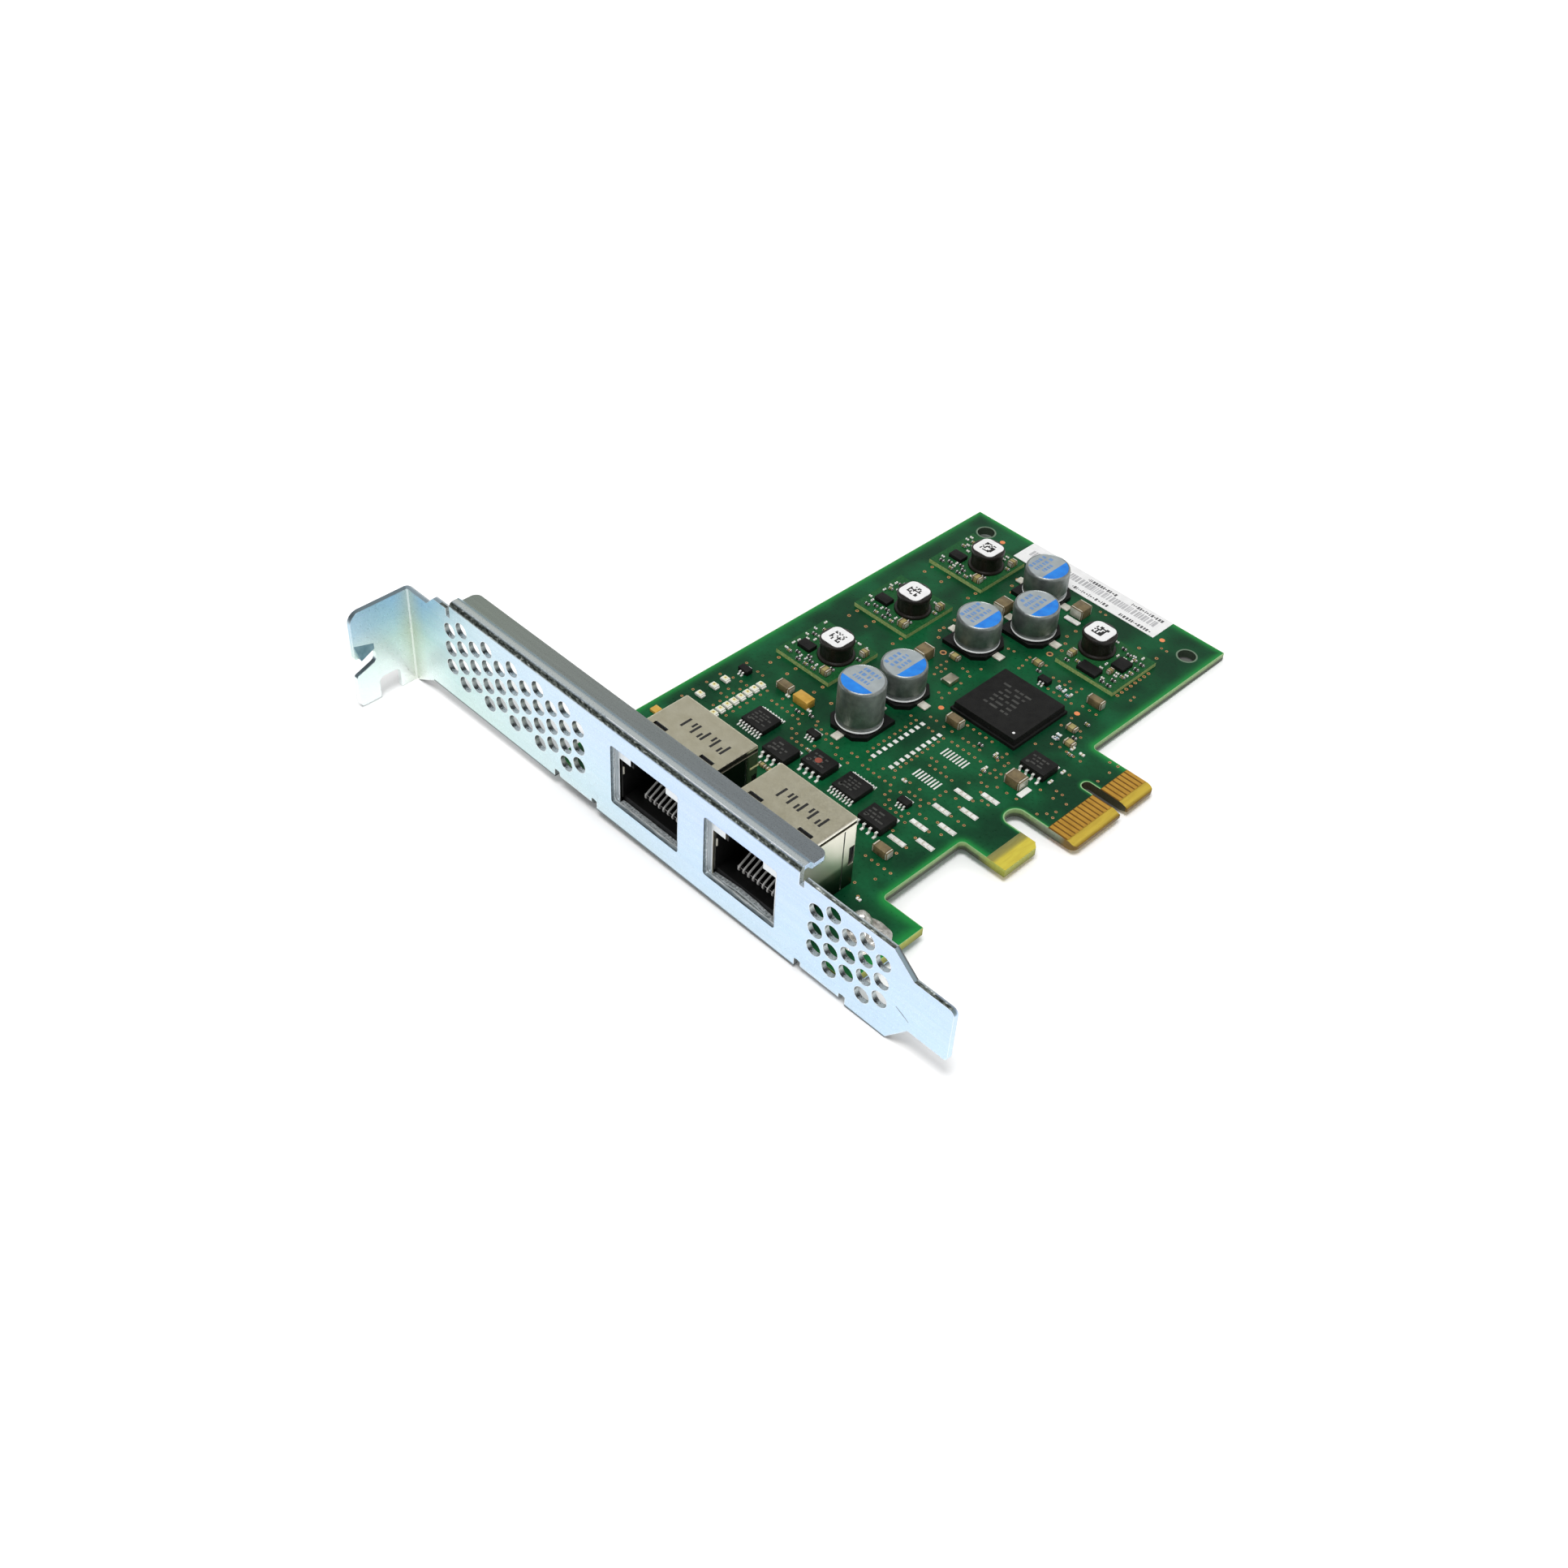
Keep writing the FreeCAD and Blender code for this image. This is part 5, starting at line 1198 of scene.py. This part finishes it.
# Rows of vias as first u and y, last u and y and their number, then single ones
VIA_ROWS = (
    (10.85, 37.4, 10.85, 28.0, 7), (7.55, 35.8, 7.55, 28.2, 6), (13.15, 36.2, 19.3, 36.2, 6),
    (22.4, 37.3, 25.0, 37.1, 3), (22.0, 32.1, 25.4, 32.1, 4), (29.5, 34.6, 32.15, 34.6, 3),
    (25.9, 36.0, 28.5, 36.0, 3), (34.15, 36.0, 40.3, 36.0, 6), (43.4, 37.0, 45.8, 37.0, 3),
    (42.8, 32.0, 46.3, 32.0, 4), (47.2, 37.4, 47.2, 41.4, 4), (51.5, 43.0, 51.5, 27.5, 4),
    (51.0, 45.45, 51.0, 30.1, 4), (48.5, 21.6, 53.6, 21.7, 5), (32.45, 50.6, 32.45, 39.0, 10),
    (38.5, 50.6, 38.5, 39.0, 10), (40.0, 51.0, 46.2, 50.9, 6), (40.6, 53.0, 44.3, 52.9, 4),
    (39.0, 56.0, 44.35, 55.95, 5), (40.4, 45.6, 41.5, 45.6, 2), (41.4, 44.05, 46.1, 44.05, 5),
    (49.6, 47.2, 50.8, 47.2, 2), (52.0, 48.3, 55.8, 48.5, 3), (52.6, 63.3, 57.0, 63.1, 4),
    (40.6, 73.35, 46.9, 73.3, 6), (40.6, 76.3, 45.65, 76.3, 5), (48.65, 74.2, 51.5, 74.2, 3),
)
VIA_SPOTS = (
    (3.3, 39.9), (6.2, 39.7), (7.5, 39.6), (5.3, 38.7), (6.2, 35.8), (4.6, 35.5), (2.5, 34.5),
    (2.5, 31.4), (2.4, 28.4), (2.4, 25.9), (6.2, 32.9), (6.2, 31.2), (14.0, 37.9), (16.2, 37.9),
    (18.9, 37.7), (20.6, 38.2), (21.9, 38.2), (20.3, 35.5), (20.3, 33.8), (21.7, 33.5), (25.8, 33.5),
    (31.0, 36.8), (32.2, 36.8), (34.1, 37.8), (36.9, 37.9), (39.5, 37.7), (41.2, 34.9), (41.2, 33.7),
    (42.5, 35.9), (42.5, 33.3), (46.7, 35.9), (46.6, 33.3), (47.6, 31.4), (47.6, 28.7), (40.9, 38.7),
    (42.0, 38.7), (44.1, 38.7), (49.3, 41.4), (52.4, 44.1), (53.7, 44.1), (53.0, 37.8), (54.2, 37.8),
    (53.2, 33.6), (47.9, 34.5), (49.2, 34.5), (51.3, 25.5), (31.1, 50.8), (33.5, 53.0), (34.8, 53.0),
    (35.1, 50.7), (36.1, 50.6), (36.6, 52.8), (38.3, 52.9), (30.2, 58.7), (31.5, 59.9), (31.5, 58.0),
    (31.5, 61.4), (43.3, 45.6), (48.3, 45.7), (48.3, 48.5), (49.1, 51.1), (50.4, 51.1), (49.1, 49.9),
    (50.4, 49.9), (47.9, 54.3), (47.9, 53.2), (49.5, 53.0), (49.5, 54.0), (47.9, 55.5), (49.4, 60.9),
    (57.9, 59.2), (58.9, 54.7), (60.1, 54.7), (57.0, 53.0), (59.6, 53.0), (61.9, 53.5), (61.9, 50.9),
    (61.2, 49.5), (62.4, 49.5), (60.2, 48.3), (61.9, 61.5), (60.4, 66.5), (61.9, 66.7), (61.9, 64.5),
    (51.2, 62.9), (52.4, 68.9), (53.4, 67.7), (49.3, 67.7), (49.3, 70.4), (43.1, 77.6), (45.7, 77.6),
    (35.0, 74.8), (35.0, 73.8), (34.4, 77.5), (34.5, 76.5), (37.7, 77.9), (31.5, 76.7), (30.4, 76.5),
    (30.9, 68.7), (28.7, 66.5), (29.8, 66.5), (30.9, 65.8), (25.6, 65.8), (25.6, 64.4), (26.8, 64.2),
    (25.6, 63.3), (26.8, 63.1), (26.5, 61.7), (31.5, 61.6), (31.1, 63.3), (53.0, 82.6), (53.1, 81.5),
    (48.1, 96.8), (49.2, 96.8), (34.5, 96.9), (35.7, 96.9), (52.9, 19.1), (51.3, 16.3), (53.6, 14.6),
)
WIDE_VIAS = (
    (20.2, 43.1), (45.4, 93.9), (49.2, 93.9), (35.1, 89.2), (35.0, 86.9), (36.1, 85.1), (36.9, 83.1),
    (18.5, 93.0), (19.1, 90.8), (20.3, 89.2), (18.9, 75.5), (19.1, 72.4), (19.1, 71.3), (20.3, 69.7),
)
PLAIN_MODULES = ((10.7, 51.75), (10.6, 71.15), (10.65, 90.8))
# Outer and inner radius of a ring of copper
VIA = (0.28, 0.125)
WIDE_VIA = (0.35, 0.15)
TARGETS = ((33.1, 56.05), (49.2, 72.0), (46.8, 98.7), (9.3, 99.7))
RINGS = ((23.6, 67.2), (36.1, 80.8))


def via(form, u, y, outer, inner):
    """Ring of copper round a disc painted dark as the shade in its hole."""
    form.turned(u, y, [(inner, 0.005), (inner + 0.03, 0.03), ((inner + outer) / 2, 0.04),
                       (outer - 0.04, 0.03), (outer, SUNK), (inner, SUNK)], "via_copper", True, 14)
    form.disc(u, y, inner, SUNK, 0.012, "via_hole_shade", 14)


def make_vias():
    form = Form("via_copper", "via_hole_shade")
    for first_u, first_y, last_u, last_y, count in VIA_ROWS:
        for k in range(count):
            share = k / (count - 1)
            via(form, first_u + (last_u - first_u) * share, first_y + (last_y - first_y) * share, *VIA)
    for u, y in VIA_SPOTS:
        via(form, u, y, *VIA)
    form.piece("board_vias", "contact_gold")
    form = Form("via_copper", "via_hole_shade")
    places = [*WIDE_VIAS, *((50.8, 89.5 - k * 1.24) for k in range(8))]
    places += [(u + column, y + row) for u, y in PLAIN_MODULES for row in (-6.72, -8.75)
               for column in (-4.85, -0.8, 5.6)]
    for u, y in places:
        via(form, u, y, *WIDE_VIA)
    form.piece("wide_board_vias", "contact_gold")


def make_targets():
    """Round copper targets and two plated rings."""
    form = Form("fiducial", "via_copper", "via_hole_shade")
    for u, y in TARGETS:
        form.turned(u, y, [(0, SUNK), (0.5, SUNK), (0.5, 0.02), (0.44, 0.035), (0, 0.035)],
                    "fiducial", steps=24)
    for u, y in RINGS:
        form.turned(u, y, [(0.34, 0.01), (0.4, 0.05), (0.56, 0.05), (0.64, SUNK), (0.34, SUNK)],
                    "via_copper", True, 28)
        # Disc painted dark as the shade in the ring's hole
        form.disc(u, y, 0.35, SUNK, 0.015, "via_hole_shade", 28)
    form.piece("board_targets", "contact_gold")


make_vias()
make_targets()

# Printed label

BAR_FIELD = (15.0, 43.6)
BAR_Y, BAR_LENGTH = 101.25, 1.75
# Rows of strokes as start, end and y
STROKE_ROWS = ((26.4, 34.4, 99.05), (37.2, 43.8, 98.85), (27.2, 33.6, 102.75), (37.0, 44.0, 102.85))


def make_label_print():
    """Grey bar field between two rows of plain dark strokes."""
    top = span("board_label")[1].z
    form = Form("print_grey", "print_dark")
    place, end = BAR_FIELD
    while place < end:
        width = draw.choice((0.22, 0.35, 0.5))
        form.bar((place + width / 2, BAR_Y), (width, BAR_LENGTH), top, "print_grey")
        place += width + draw.choice((0.12, 0.2, 0.3))
    for place, end, y in STROKE_ROWS:
        while place < end:
            width = draw.choice((0.16, 0.3, 0.42))
            length = draw.choice((0.3, 0.75, 0.75))
            form.bar((place + width / 2, y), (width, length), top, "print_dark")
            place += width + draw.choice((0.16, 0.24))
    form.piece("label_print", "label_white")


make_label_print()

# Wear on the bracket

FOOT_MIDDLES = (6.0, 60.0)
FOOT_HALF = 3.9
SLIT_WIDTH = 1.2
SLIT_END, SLIT_CROWN = -1.55, -1.4
# What fills a slit and the thin skin that hides its seams, as front y, back y and lap
SLIT_COVERS = ((0, SHEET, 0), (-0.004, -0.001, 0.3))
SCRATCH = ((74.2, 4.62), (76.74, 3.32), (76.8, 3.44), (75.6, 4.14), (74.3, 4.74))
# Bent corner beside the screw slot: its root on the tab's face, then the two raised points
BENT_FACE = TAB_FACE - 0.02
BENT_ROOT = ((BENT_FACE, -11.35, 6.9), (BENT_FACE, -7.55, 5.75))
BENT_RAISED = ((TAB_FACE + 0.3, -7.7, 4.85), (TAB_FACE + 0.75, -10.6, 3.95))


def make_wear():
    """Bent corner, a scratch on the tail and covers for the upper halves of the feet's slits."""
    form = Form("bent_zinc", "scratch_line", "bracket_patch")
    for foot in FOOT_MIDDLES:
        for slit in (foot - FOOT_HALF - SLIT_WIDTH, foot + FOOT_HALF):
            for front, back, lap in SLIT_COVERS:
                low, high = slit - lap, slit + SLIT_WIDTH + lap
                form.prism([(low, front, SLIT_END), (slit + SLIT_WIDTH / 2, front, SLIT_CROWN),
                            (high, front, SLIT_END), (high, front, lap - 0.2), (low, front, lap - 0.2)],
                           (0, back - front, 0), "bracket_patch")
    back = [form.vertex(BENT_FACE, y, z) for _, y, z in (*BENT_ROOT, *BENT_RAISED)]
    front = [form.vertex(*point) for point in BENT_RAISED]
    for corners in ((back[0], back[1], front[0], front[1]), (back[1], back[2], front[0]),
                    (back[2], back[3], front[1], front[0]), (back[3], back[0], front[1]), back[::-1]):
        form.mesh.faces.new(corners)
    form.prism([(u, 0.004, z) for u, z in SCRATCH], (0, -0.012, 0), "scratch_line")
    form.piece("bracket_wear", "bracket_zinc")


make_wear()
